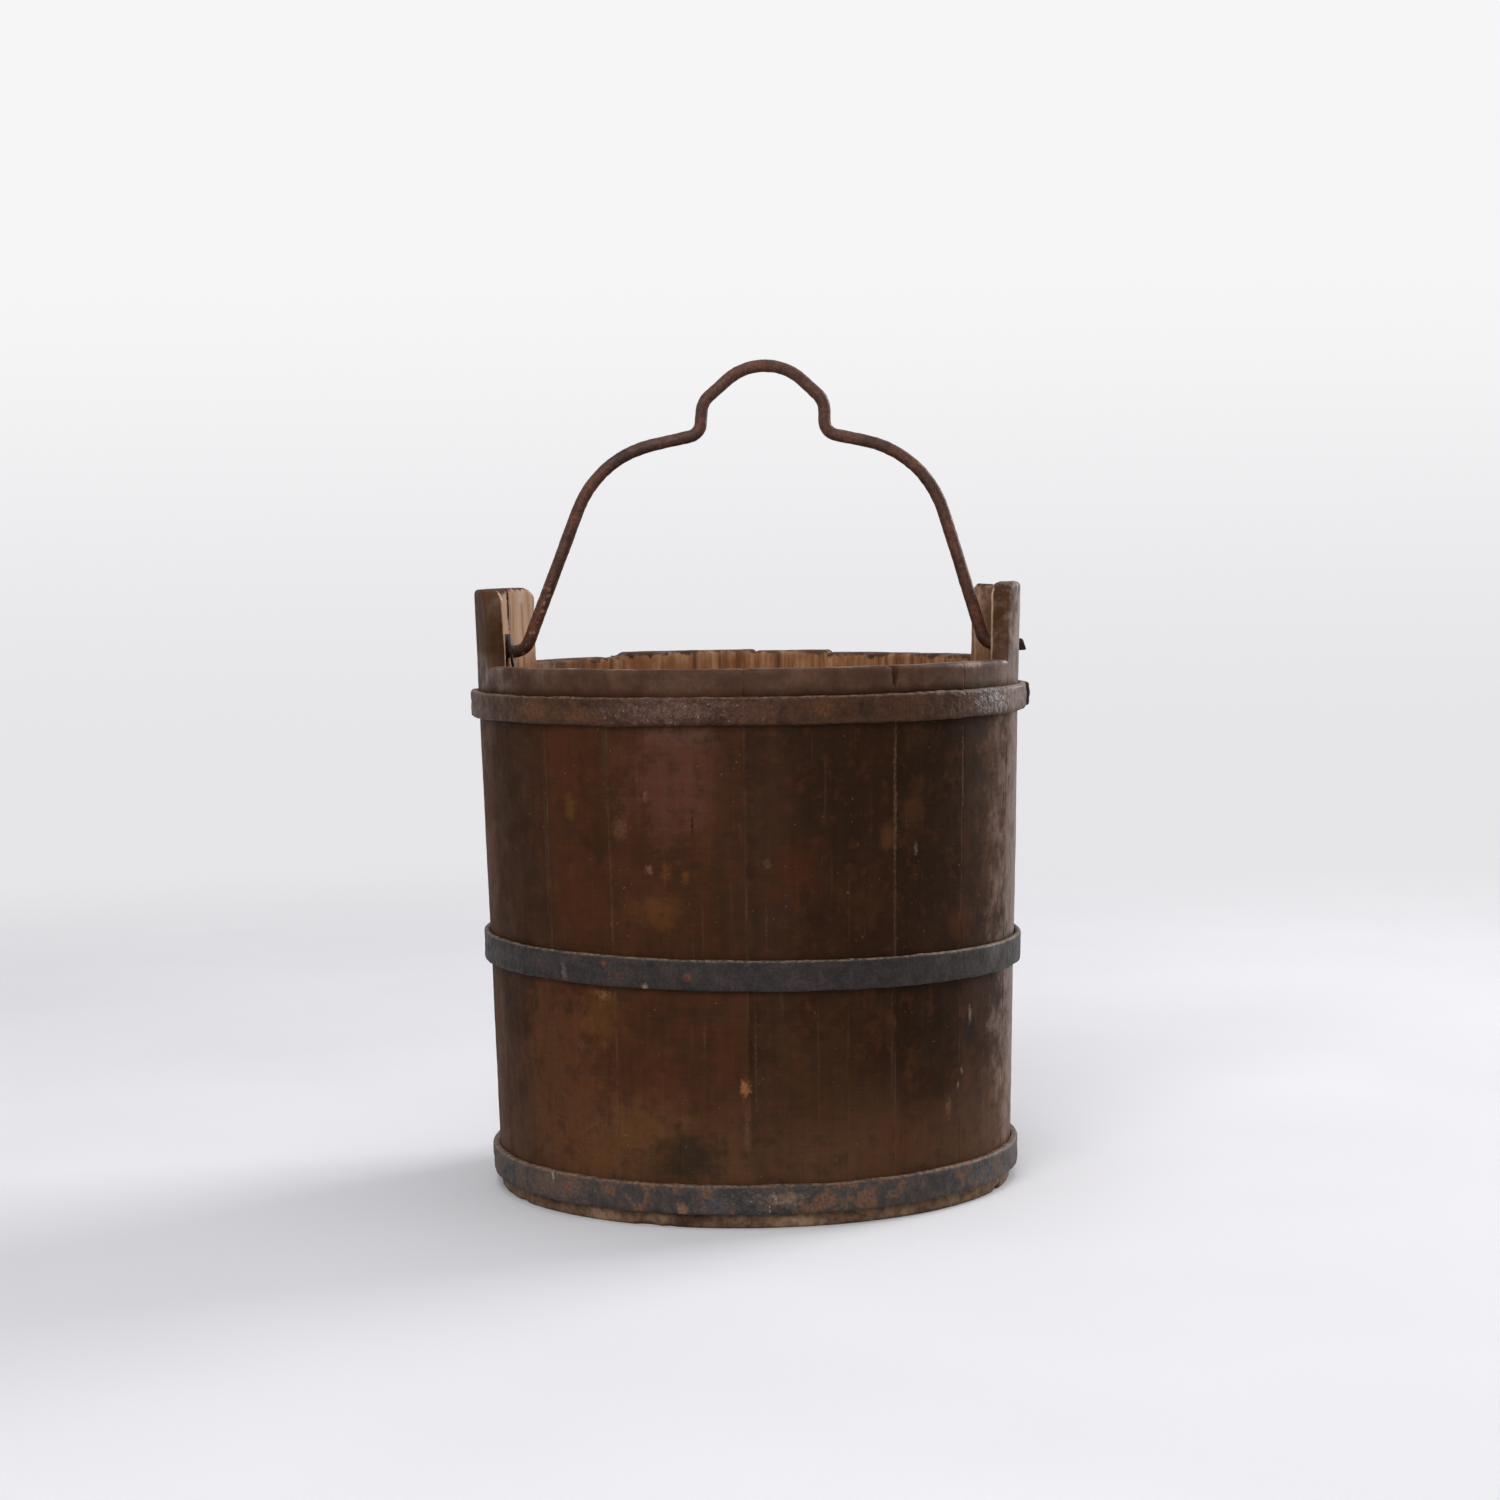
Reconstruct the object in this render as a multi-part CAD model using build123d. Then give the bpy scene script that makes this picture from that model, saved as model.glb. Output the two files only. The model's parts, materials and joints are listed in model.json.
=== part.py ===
from build123d import *

import math
import os

# An old coopered bucket. Thirteen tapered staves, two of them tall ears, stand edge to edge round a boarded
# bottom. Bamboo pegs line the staves up, three riveted iron hoops pull them tight, and an iron bail with a
# raised crown swings in the ears.
# Millimetres and degrees. +Z is up and the origin is the middle of the foot, on the floor. The ears stand at
# +X and -X, the front is -Y, and angles run anticlockwise from +X, seen from above.

# Shell
rim_height = 291.0
rim_radius = 151.0
foot_radius = 143.0
stave_thickness = 10.5
edge_round = 2.0

# Staves: their shares of the wall between the ears, and how far each top stands above the rim height
front_shares = (23.0, 16.5, 28.5, 31.5, 18.5, 20.0)
front_tops = (0.0, 0.0, 0.0, 0.0, 0.0, 0.0)
back_shares = (22.0, 24.2, 18.0, 35.1, 27.7)
back_tops = (-1.2, -0.8, 0.6, 1.4, -1.0)

# Ears, measured across their outer faces at the rim from the line of the bail
ear_front_half = 54.0
left_ear_back_half = 73.0
right_ear_back_half = 61.5
ear_rise = 41.4
ear_corner = 15.0
hinge_rise = 6.2
hinge_clearance = 0.35

# Bottom
bottom_lift = 13.0
bottom_thickness = 14.0
bottom_clearance = 0.3
croze_depth = 3.5
croze_height = 8.0
left_board_width = 88.0
right_board_width = 92.0

# Pegs in the stave joints and dowels in the bottom joints
peg_diameter = 4.0
peg_length = 24.0
peg_clearance = 0.15
lower_peg_lift = 72.0
upper_peg_drop = 86.0
dowel_diameter = 6.0
dowel_length = 38.0
dowel_spacing = 120.0

# Hoops
top_hoop_drop = 14.2
top_hoop_height = 14.8
top_hoop_thickness = 4.4
top_hoop_round = 2.0
top_hoop_lap_at = 1.0
middle_hoop_lift = 124.6
middle_hoop_height = 16.2
middle_hoop_thickness = 3.4
middle_hoop_round = 1.0
middle_hoop_lap_at = 104.0
middle_hoop_tilt = 1.0
bottom_hoop_lift = 7.8
bottom_hoop_height = 15.4
bottom_hoop_thickness = 4.0
bottom_hoop_round = 1.4
bottom_hoop_lap_at = 62.0
hoop_clearance = 0.1
lap_length = 46.0
lap_thickness = 2.6
lap_inset = 0.8
lap_gap = 0.15
lap_root = 12.0
slit_width = 1.2

# Rivets in the hoop laps
rivet_diameter = 5.0
rivet_head_diameter = 9.0
rivet_head_rise = 1.8
rivet_spacing = 22.0
rivet_clearance = 0.15

# Bail: half of its centre line, with the foot of the crown's arch as the height above the hinge that the other
# bends hang below or rise above, and how far use has pushed it to the right
bail_rod = 7.0
bail_end_chamfer = 1.0
bail_end_proud = 1.0
bail_slide = 4.0
crown_shift = 10.5
leg_inset = 11.9
hook_radius = 9.5
shoulder_half_width = 91.4
shoulder_drop = 12.0
shoulder_radius = 58.0
neck_half_width = 34.8
neck_drop = 17.9
neck_radius = 8.0
crown_half_width = 34.0
crown_height = 137.5
crown_bend_radius = 12.0
crown_peak_rise = 30.5
crown_peak_radius = 31.5

# Two loose washers on the bail, inside the left ear
washer_diameter = 21.0
washer_bore = 8.6
washer_thickness = 1.5
washer_stand_off = 5.2
washer_lean = 8.0
washer_play = 0.2

# Places that follow from the sizes above
taper = (rim_radius - foot_radius) / rim_height
slope = abs(taper)
hinge_height = rim_height + hinge_rise
ear_top = rim_height + ear_rise
croze_middle = bottom_lift + bottom_thickness / 2
neck_height = crown_height - neck_drop
shoulder_height = neck_height - shoulder_drop
crown_peak_height = crown_height + crown_peak_rise
peg_heights = (lower_peg_lift, rim_height - upper_peg_drop)


def wall_radius(z):
    """Outside radius of the shell at height z."""
    return foot_radius + taper * z


def ear_edge(half):
    """Angle from the line of the bail to a joint of the ear."""
    return math.degrees(math.asin(half / rim_radius))


def arc_angle(length, radius):
    """Angle that a length along a circle takes up."""
    return math.degrees(length / radius)


def seams(shares, start, end):
    """Angles of the joints that divide the wall from start to end by the given shares."""
    angles = [start]
    for share in shares:
        angles.append(angles[-1] + (end - start) * share / sum(shares))
    return angles


ear_outer_x = wall_radius(hinge_height)
ear_inner_x = ear_outer_x - stave_thickness
front_seams = seams(front_shares, 180 + ear_edge(ear_front_half), 360 - ear_edge(ear_front_half))
back_seams = seams(back_shares, ear_edge(right_ear_back_half), 180 - ear_edge(left_ear_back_half))


# Staves


def stave_profile(top):
    """Section of a stave: a tapered plank with worn edges and the groove, or croze, that holds the bottom."""
    outline = Polyline(
        (foot_radius, 0),
        (wall_radius(top), top),
        (wall_radius(top) - stave_thickness, top),
        (foot_radius - stave_thickness, 0),
        close=True,
    )
    plank = make_face(outline)
    plank = fillet(plank.vertices(), edge_round)
    groove_end = wall_radius(croze_middle) - stave_thickness + croze_depth
    groove = Pos(groove_end - stave_thickness / 2, croze_middle) * Rectangle(stave_thickness, croze_height)
    return Plane.XZ * (plank - groove)


def peg(seam, height, radius, length):
    """A round peg square to a stave joint, in the middle of the wall."""
    place = Rot(0, 0, seam) * Pos(wall_radius(height) - stave_thickness / 2, 0, height)
    return place * Rot(90, 0, 0) * Cylinder(radius, length)


def stave(start, end, top):
    """One stave from its first joint to its second, with the blind holes for its pegs."""
    body = Rot(0, 0, start) * revolve(stave_profile(top), axis=Axis.Z, revolution_arc=end - start)
    for seam in (start, end):
        for height in peg_heights:
            body -= peg(seam, height, peg_diameter / 2 + peg_clearance, peg_length + 2 * peg_clearance)
    return body


def ear_stave(start, end, side):
    """A tall stave with rounded top corners and the hole that the bail turns in. Side is 1 or -1 along X."""
    body = stave(start, end, ear_top)
    edges = [wall_radius(ear_top) * math.sin(math.radians(angle)) for angle in (start, end)]
    front, back = min(edges), max(edges)
    outline = make_face(Polyline((front, 0), (back, 0), (back, ear_top), (front, ear_top), close=True))
    outline = fillet(outline.vertices().group_by(Axis.Y)[-1], ear_corner)
    body &= extrude(Plane.YZ * outline, amount=side * 2 * rim_radius)
    hole = Cylinder(bail_rod / 2 + hinge_clearance, 4 * rim_radius)
    return body - Pos(0, 0, hinge_height) * Rot(0, 90, 0) * hole


def staves():
    """All the staves by name: the ears, then the front from left to right, then the back from right to left."""
    pieces = {
        "ear_stave_right": ear_stave(front_seams[-1] - 360, back_seams[0], 1),
        "ear_stave_left": ear_stave(back_seams[-1], front_seams[0], -1),
    }
    for side, joints, tops in (("front", front_seams, front_tops), ("back", back_seams, back_tops)):
        for number, top in enumerate(tops):
            name = f"stave_{side}_{number + 1}"
            pieces[name] = stave(joints[number], joints[number + 1], rim_height + top)
    return pieces


def stave_pegs():
    """Bamboo pegs, two in each joint between staves."""
    joints = front_seams + back_seams
    return Compound([peg(seam, z, peg_diameter / 2, peg_length).solid() for seam in joints for z in peg_heights])


# Bottom


bottom_radius = wall_radius(bottom_lift) - stave_thickness - bottom_clearance
bottom_joints = (left_board_width - bottom_radius, bottom_radius - right_board_width)


def dowel_places():
    """Middle of each dowel across the two joints of the bottom."""
    return [Pos(x, y, croze_middle) for x in bottom_joints for y in (-dowel_spacing / 2, dowel_spacing / 2)]


def bottom_disc():
    """The bottom as one round, with the tongue round its edge that sits in the croze and the dowels' holes."""
    groove_end = wall_radius(croze_middle) - stave_thickness + croze_depth
    tongue = Cylinder(groove_end - bottom_clearance, croze_height - 2 * bottom_clearance)
    disc = Pos(0, 0, croze_middle) * (Cylinder(bottom_radius, bottom_thickness) + tongue)
    hole = Rot(0, 90, 0) * Cylinder(dowel_diameter / 2 + peg_clearance, dowel_length + 2 * peg_clearance)
    for place in dowel_places():
        disc -= place * hole
    return disc


def bottom_boards():
    """Three boards sawn from the round."""
    disc = bottom_disc()
    saw_cuts = (-2 * rim_radius, *bottom_joints, 2 * rim_radius)
    boards = {}
    for number, name in enumerate(("left", "middle", "right")):
        low, high = saw_cuts[number], saw_cuts[number + 1]
        slab = Pos((low + high) / 2, 0, croze_middle) * Box(high - low, 4 * rim_radius, 2 * bottom_thickness)
        boards[f"bottom_board_{name}"] = disc & slab
    return boards


def bottom_dowels():
    """Dowels that hold the bottom boards edge to edge."""
    dowel = Rot(0, 90, 0) * Cylinder(dowel_diameter / 2, dowel_length)
    return Compound([(place * dowel).solid() for place in dowel_places()])


# Hoops


def band(low, height, gap, thickness, corner, angle):
    """An arc of iron strip on the sloping wall, gap away from it, with rounded outer edges."""
    foot = wall_radius(low) + gap
    head = wall_radius(low + height) + gap
    outline = Polyline(
        (foot, low), (foot + thickness, low), (head + thickness, low + height), (head, low + height), close=True
    )
    section = make_face(outline)
    section = fillet(section.vertices().sort_by(Axis.X)[-2:], corner)
    return revolve(Plane.XZ * section, axis=Axis.Z, revolution_arc=angle)


def rivet(inner, seat):
    """A round-headed rivet along +Z from inner, with the underside of its head at seat."""
    shank = Pos(0, 0, (inner + seat) / 2) * Cylinder(rivet_diameter / 2, seat - inner)
    head_radius = (rivet_head_diameter**2 / 4 + rivet_head_rise**2) / (2 * rivet_head_rise)
    ball = Pos(0, 0, seat + rivet_head_rise - head_radius) * Sphere(head_radius)
    cap = Pos(0, 0, seat + rivet_head_rise / 2) * Cylinder(rivet_head_diameter, rivet_head_rise)
    return shank + (ball & cap)


def hoop_and_rivets(low, height, thickness, corner, lap_at, tilt=0.0):
    """A strip bent into a ring, whose thinned outer end laps over the inner end and is riveted to it."""
    middle = low + height / 2
    lean = math.radians(tilt)
    gap = hoop_clearance + math.sin(lean) * (slope * rim_radius + height / 2) + rim_radius * (1 - math.cos(lean))
    outside = gap + thickness
    radius = wall_radius(middle) + outside
    slit, lap, root = (arc_angle(length, radius) for length in (slit_width, lap_length, lap_root))
    lap_low, lap_height = low + lap_inset, height - 2 * lap_inset
    lap_corner = lap_thickness / 3
    # The inner end of the strip lies at angle 0, under the lap, and the slit is just past it.
    ring = Rot(0, 0, slit) * band(low, height, gap, thickness, corner, 360 - slit)
    tongue = band(lap_low, lap_height, outside + lap_gap, lap_thickness, lap_corner, lap + slit + root)
    joggle = band(lap_low, lap_height, gap + thickness / 2, (thickness + lap_thickness) / 2, lap_corner, root)
    hoop = ring + Rot(0, 0, -lap) * tongue + Rot(0, 0, slit) * joggle
    rivets = []
    inner = wall_radius(middle) + gap + slope * rivet_diameter
    seat = radius + lap_gap + lap_thickness + slope * rivet_head_diameter
    for offset in (-rivet_spacing / 2, rivet_spacing / 2):
        place = Rot(0, 0, arc_angle(offset - lap_length / 2, radius)) * Pos(0, 0, middle) * Rot(0, 90, 0)
        hole = Cylinder(rivet_diameter / 2 + rivet_clearance, 4 * (seat - inner))
        hoop -= place * Pos(0, 0, seat) * hole
        rivets.append(place * rivet(inner, seat))
    turn = Pos(0, 0, middle) * Rot(0, tilt, 0) * Pos(0, 0, -middle) * Rot(0, 0, lap_at + lap)
    return turn * hoop, Compound([(turn * piece).solid() for piece in rivets])


def hoops():
    """The three hoops and their rivets by name."""
    top_hoop_lift = rim_height - top_hoop_drop - top_hoop_height
    made = {
        "top": hoop_and_rivets(
            top_hoop_lift, top_hoop_height, top_hoop_thickness, top_hoop_round, top_hoop_lap_at
        ),
        "middle": hoop_and_rivets(
            middle_hoop_lift,
            middle_hoop_height,
            middle_hoop_thickness,
            middle_hoop_round,
            middle_hoop_lap_at,
            middle_hoop_tilt,
        ),
        "bottom": hoop_and_rivets(
            bottom_hoop_lift, bottom_hoop_height, bottom_hoop_thickness, bottom_hoop_round, bottom_hoop_lap_at
        ),
    }
    pieces = {}
    for name, (hoop, rivets) in made.items():
        pieces[f"hoop_{name}"] = hoop
        pieces[f"hoop_{name}_rivets"] = rivets
    return pieces


# Bail


def bail_point(x, z):
    """A point of the bail's centre line, z above the hinge, pushed to the right more and more with height."""
    shift = bail_slide + (crown_shift - bail_slide) * z / crown_height
    return (x + shift, 0, hinge_height + z)


def bail():
    """A round iron rod bent to legs, shoulders and a raised crown, with its ends through the ears."""
    half = [
        (ear_outer_x + bail_end_proud, 0),
        (ear_inner_x - leg_inset, 0),
        (shoulder_half_width, shoulder_height),
        (neck_half_width, neck_height),
        (crown_half_width, crown_height),
    ]
    bends = [hook_radius, shoulder_radius, neck_radius, crown_bend_radius]
    corners = [(-x, z) for x, z in half] + [(0, crown_peak_height)] + half[::-1]
    line = FilletPolyline(
        *[bail_point(x, z) for x, z in corners], radius=bends + [crown_peak_radius] + bends[::-1]
    )
    rod = sweep(Plane(line @ 0, z_dir=line % 0) * Circle(bail_rod / 2), path=line)
    ends = rod.edges().group_by(Axis.X)
    return chamfer(ends[0] + ends[-1], bail_end_chamfer)


def washers():
    """Two washers hung on the bail: one upright, the other leaning its top on the first."""
    ring = Cylinder(washer_diameter / 2, washer_thickness) - Cylinder(washer_bore / 2, washer_thickness)
    lean = math.radians(washer_lean)
    upright_x = ear_inner_x - washer_stand_off
    reach = washer_thickness / 2 * math.cos(lean) + washer_diameter / 2 * math.sin(lean)
    leaning_x = upright_x - washer_thickness / 2 - washer_play - reach
    bore_top = washer_bore / 2 * math.cos(lean) - washer_thickness / 2 * math.sin(lean)
    rod_top = hinge_height + bail_rod / 2 + washer_play
    upright = Pos(-upright_x, 0, rod_top - washer_bore / 2) * Rot(0, 90, 0) * ring
    leaning = Pos(-leaning_x, 0, rod_top - bore_top) * Rot(0, 90 - washer_lean, 0) * ring
    return {"washer_upright": upright, "washer_leaning": leaning}


def build():
    """Every piece by the name of its node."""
    pieces = staves()
    pieces["stave_pegs"] = stave_pegs()
    pieces |= bottom_boards()
    pieces["bottom_dowels"] = bottom_dowels()
    pieces |= hoops()
    pieces["bail"] = bail()
    pieces |= washers()
    return pieces


os.makedirs("parts", exist_ok=True)
for node, piece in build().items():
    export_step(piece, f"parts/{node}.step")
    print(node, len(piece.solids()), "solids", round(piece.volume), "cubic mm")
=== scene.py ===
# %% [markdown]
# # An old coopered bucket with an iron bail
#
# A cooper builds a bucket from tapered staves, set edge to edge round a boarded bottom and pulled tight
# by iron hoops. The CAD frame already holds every piece at its real size, and its bail already swings in
# the two ears. This lesson gives those pieces what a century of use has left on them: rounded edges,
# chips, hammer marks, lacquer, rust and dirt.
# Everything is in metres, in the frame's own axes: +Z is up, the ears stand at +X and -X, the front is
# -Y, and angles run anticlockwise from +X, seen from above.

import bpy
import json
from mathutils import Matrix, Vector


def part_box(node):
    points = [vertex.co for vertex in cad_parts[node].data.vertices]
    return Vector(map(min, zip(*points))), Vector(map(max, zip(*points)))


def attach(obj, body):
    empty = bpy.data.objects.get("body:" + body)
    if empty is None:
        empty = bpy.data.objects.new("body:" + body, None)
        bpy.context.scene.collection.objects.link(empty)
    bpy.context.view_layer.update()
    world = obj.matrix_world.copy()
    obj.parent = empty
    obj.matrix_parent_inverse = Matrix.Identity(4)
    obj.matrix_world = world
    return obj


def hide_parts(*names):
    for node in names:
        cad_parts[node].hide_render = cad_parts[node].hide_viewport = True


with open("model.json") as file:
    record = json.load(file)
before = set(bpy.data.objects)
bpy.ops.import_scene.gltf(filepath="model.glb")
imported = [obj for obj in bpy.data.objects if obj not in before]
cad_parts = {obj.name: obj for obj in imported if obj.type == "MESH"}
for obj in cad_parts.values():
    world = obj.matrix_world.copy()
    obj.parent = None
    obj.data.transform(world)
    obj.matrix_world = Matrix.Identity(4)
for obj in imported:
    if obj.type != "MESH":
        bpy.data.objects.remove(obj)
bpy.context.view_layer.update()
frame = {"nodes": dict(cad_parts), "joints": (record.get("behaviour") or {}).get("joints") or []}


# %% [markdown]
# ## Hands
#
# Blender's operators act on whatever is selected, just as a hand works on what it holds. A few small
# helpers pick up one piece, choose some of its faces by where they are, saw it with a flat cut and apply
# a modifier. A mesh could also be written down point by point, but these are the steps that a hand can
# follow with a mouse, and every piece below is made with them.

# %% Pick up, choose and finish
import math

import bmesh
import bpy
import numpy as np
from mathutils import Matrix, Vector

mm = 0.001
near = 1 * mm
merge_distance = 0.001 * mm


def in_mm(*sizes):
    """Sizes in millimetres, as metres."""
    return tuple(size * mm for size in sizes)


def put_down():
    """Leaves edit mode."""
    bpy.ops.object.mode_set(mode="OBJECT")


def clear_bench():
    """Leaves nothing selected."""
    if bpy.context.mode != "OBJECT":
        put_down()
    bpy.ops.object.select_all(action="DESELECT")


def pick_up(*pieces):
    """Selects these pieces alone, the first one active."""
    clear_bench()
    for piece in pieces:
        piece.select_set(True)
    bpy.context.view_layer.objects.active = pieces[0]


def choose(piece, kind, test=None, sharp=0.0):
    """Opens a piece in edit mode with those vertices, edges or faces selected whose middle passes the
    test, or all of them without a test. Edges can also be asked to turn by a sharp angle or more."""
    pick_up(piece)
    bpy.ops.object.mode_set(mode="EDIT")
    bpy.ops.mesh.select_mode(type=kind)
    bpy.ops.mesh.select_all(action="DESELECT")
    shape = bmesh.from_edit_mesh(piece.data)
    for item in {"VERT": shape.verts, "EDGE": shape.edges, "FACE": shape.faces}[kind]:
        corners = [item] if kind == "VERT" else item.verts
        middle = sum((corner.co for corner in corners), Vector()) / len(corners)
        fits = test is None or test(middle)
        item.select_set(fits and (kind != "EDGE" or item.calc_face_angle(math.pi) >= sharp))
    shape.select_flush_mode()
    bmesh.update_edit_mesh(piece.data)


def saw(piece, point, normal, keep_both=False):
    """Cuts a piece with a plane, and takes away the side that the normal points to unless both stay."""
    choose(piece, "FACE")
    bpy.ops.mesh.bisect(plane_co=point, plane_no=normal, use_fill=not keep_both, clear_outer=not keep_both)
    put_down()


def score_level(piece, z):
    """Cuts a level line round a piece and keeps both sides."""
    saw(piece, (0, 0, z), (0, 0, 1), keep_both=True)


def finish_with(piece, kind, **settings):
    """Adds a modifier to a piece and applies it."""
    pick_up(piece)
    modifier = piece.modifiers.new(kind, kind)
    for name, value in settings.items():
        setattr(modifier, name, value)
    bpy.ops.object.modifier_apply(modifier=modifier.name)


def close_up(piece):
    """Merges doubled vertices and turns every face outwards."""
    choose(piece, "VERT")
    bpy.ops.mesh.remove_doubles(threshold=merge_distance)
    bpy.ops.mesh.normals_make_consistent(inside=False)
    put_down()


def settle(piece):
    """Puts a piece's place, turn and size into its mesh."""
    pick_up(piece)
    bpy.ops.object.transform_apply(location=True, rotation=True, scale=True)


def start_from(add, scale=(1, 1, 1), **settings):
    """Adds a primitive with one of Blender's operators, at its size and place."""
    clear_bench()
    add(**settings)
    piece = bpy.context.object
    piece.scale = scale
    settle(piece)
    return piece


print("helpers ready")

# %% [markdown]
# ## Cutters, dents and skins
#
# A hole is drilled with a cylinder and a chip is bitten out with a stretched ball, both by a Boolean
# modifier. The Remesh modifier then knits the piece into a skin of small even faces, as fine as the wear
# that it has to show, and Displace modifiers press a cloudy noise into that skin. Sculpting by hand could
# do the same, but noise gives every piece as much wear as its neighbour. It is read through a stretched
# empty, so that it can run long and thin along the grain of the wood.

# %% Drill, bite, knit and dent
drill_sides = 24


def cut_away(piece, cutter):
    """Takes the cutter's shape out of a piece and throws the cutter away."""
    finish_with(piece, "BOOLEAN", object=cutter, operation="DIFFERENCE", solver="EXACT")
    bpy.data.objects.remove(cutter)


def drill(piece, place, direction, radius, depth):
    """Drills a round hole whose middle is at a place."""
    turn = Vector(direction).to_track_quat("Z", "Y").to_euler()
    size = {"vertices": drill_sides, "radius": radius, "depth": depth}
    cut_away(piece, start_from(bpy.ops.mesh.primitive_cylinder_add, location=place, rotation=turn, **size))


def bite(piece, place, half_sizes, turn):
    """Breaks a chip out of a piece: half sizes run along the wall, into it and up, turned about Z."""
    ball = {"subdivisions": 2, "radius": 1, "location": place, "rotation": (0, 0, turn)}
    cut_away(piece, start_from(bpy.ops.mesh.primitive_ico_sphere_add, half_sizes, **ball))


def soften(piece, width, sharp):
    """Rounds every edge that turns by a sharp angle or more."""
    finish_with(piece, "BEVEL", width=width, segments=2, limit_method="ANGLE", angle_limit=sharp)


def knit(piece, voxel):
    """Gives a piece an even skin of small faces."""
    finish_with(piece, "REMESH", mode="VOXEL", voxel_size=voxel, use_smooth_shade=True)


def dent(piece, stretch, depth, octaves=2):
    """Presses noise into a skin. Stretch is the size of the marks along X, Y and Z."""
    noise = bpy.data.textures.new("dents", "CLOUDS")
    noise.noise_scale = 1.0
    noise.noise_depth = octaves
    ruler = bpy.data.objects.new("dent_ruler", None)
    bpy.context.scene.collection.objects.link(ruler)
    ruler.scale = stretch
    bpy.context.view_layer.update()
    by_ruler = {"texture_coords": "OBJECT", "texture_coords_object": ruler}
    finish_with(piece, "DISPLACE", texture=noise, strength=depth, mid_level=0.5, **by_ruler)
    bpy.data.objects.remove(ruler)
    bpy.data.textures.remove(noise)


print("cutters ready")

# %% [markdown]
# ## Notes and hand-over
#
# A finish can only follow a joint, a rim or a lap if the mesh says where they are. So a piece carries
# notes, values on its vertices that a material reads as attributes. An unwrapped UV map could say some
# of it, but notes need no unwrapping and may hold any measure. When a piece is done, it takes the place
# of its CAD node and rides on that node's body.

# %% Write notes and hand a piece over


def points_of(piece):
    """The vertices of a piece as rows of X, Y and Z."""
    return np.array([vertex.co for vertex in piece.data.vertices])


def note(piece, name, values, kind="FLOAT", key="value"):
    """Writes a value on every vertex for the finishes to read."""
    attribute = piece.data.attributes.new(name, kind, "POINT")
    attribute.data.foreach_set(key, np.ascontiguousarray(values, np.float32))


def note_for_all(piece, name, row):
    """Writes the same three numbers on every vertex."""
    note(piece, name, np.tile(row, len(piece.data.vertices)), "FLOAT_VECTOR", "vector")


def hand_over(piece, name, body):
    """Names a finished piece after the CAD node it stands for, and lets it ride on its body."""
    piece.name = name + "_worn"
    piece.data.name = piece.name
    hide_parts(name)
    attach(piece, body)
    print(piece.name, "triangles:", sum(len(face.vertices) - 2 for face in piece.data.polygons))


print("notes ready")

# %% [markdown]
# ## The wall
#
# Staves and hoops share one shape: a slice that leans outwards with the wall, carried round the bucket's
# axis. The slice starts as a plane, set upright, with its top edge slid outwards by the taper. The Spin
# operator then carries it round, which keeps every face true to the axis. A bent plank could not promise
# that. Without a window Spin turns clockwise, so it is given the angle with a minus.

# %% A leaning slice, carried round
foot_radius = 143 * mm
rim_radius = 151 * mm
rim_height = 291 * mm
stave_thickness = 10.5 * mm
taper = (rim_radius - foot_radius) / rim_height
spin_step = math.radians(1.5)


def wall_radius(z):
    """Outside radius of the staves at height z."""
    return foot_radius + taper * z


def wall_place(angle, z, inset=0.0):
    """A point on the wall, or some way in from it, by angle and height."""
    radius = wall_radius(z) - inset
    return Vector((radius * math.cos(angle), radius * math.sin(angle), z))


def wall_slice(gap, thickness, low, high):
    """A slice of wall in the XZ plane, from a gap outside the staves and between two heights."""
    middle = (wall_radius(low) + gap + thickness / 2, 0, (low + high) / 2)
    sheet = {"size": 1, "location": middle, "rotation": (math.pi / 2, 0, 0)}
    piece = start_from(bpy.ops.mesh.primitive_plane_add, (thickness, high - low, 1), **sheet)
    choose(piece, "VERT", lambda point: point.z > (low + high) / 2)
    bpy.ops.transform.translate(value=(taper * (high - low), 0, 0))
    put_down()
    return piece


def carry_round(piece, start, angle):
    """Spins a slice about the bucket's axis, from the start angle."""
    choose(piece, "FACE")
    steps = max(2, round(angle / spin_step))
    bpy.ops.mesh.spin(steps=steps, angle=-angle, center=(0, 0, 0), axis=(0, 0, 1))
    put_down()
    piece.rotation_euler.z = start
    settle(piece)
    close_up(piece)


print("wall radius at the foot and rim:", foot_radius, rim_radius)

# %% [markdown]
# ## Staves
#
# Each stave is measured on its own CAD node, so it stands exactly where the frame says: its two joints
# are the first and last angles of the node, and its top is the node's highest point. The groove for the
# bottom, which a cooper calls the croze, is sawn into the slice before the spin, so that it runs on from
# stave to stave. Holes take the hidden pegs.

# %% A stave from the bench
croze_low = 16 * mm
croze_high = 24 * mm
croze_depth = 3.5 * mm
peg_hole_radius = 2.15 * mm
peg_hole_depth = 24.3 * mm
peg_heights = in_mm(72, 205)


def stave_span(node):
    """First angle, last angle and top of a stave, measured on its CAD node."""
    points = points_of(frame["nodes"][node])
    middle = math.atan2(points[:, 1].mean(), points[:, 0].mean())
    around = np.arctan2(points[:, 1], points[:, 0]) - middle
    around = (around + math.pi) % (2 * math.pi) - math.pi
    return middle + around.min(), middle + around.max(), points[:, 2].max()


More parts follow.
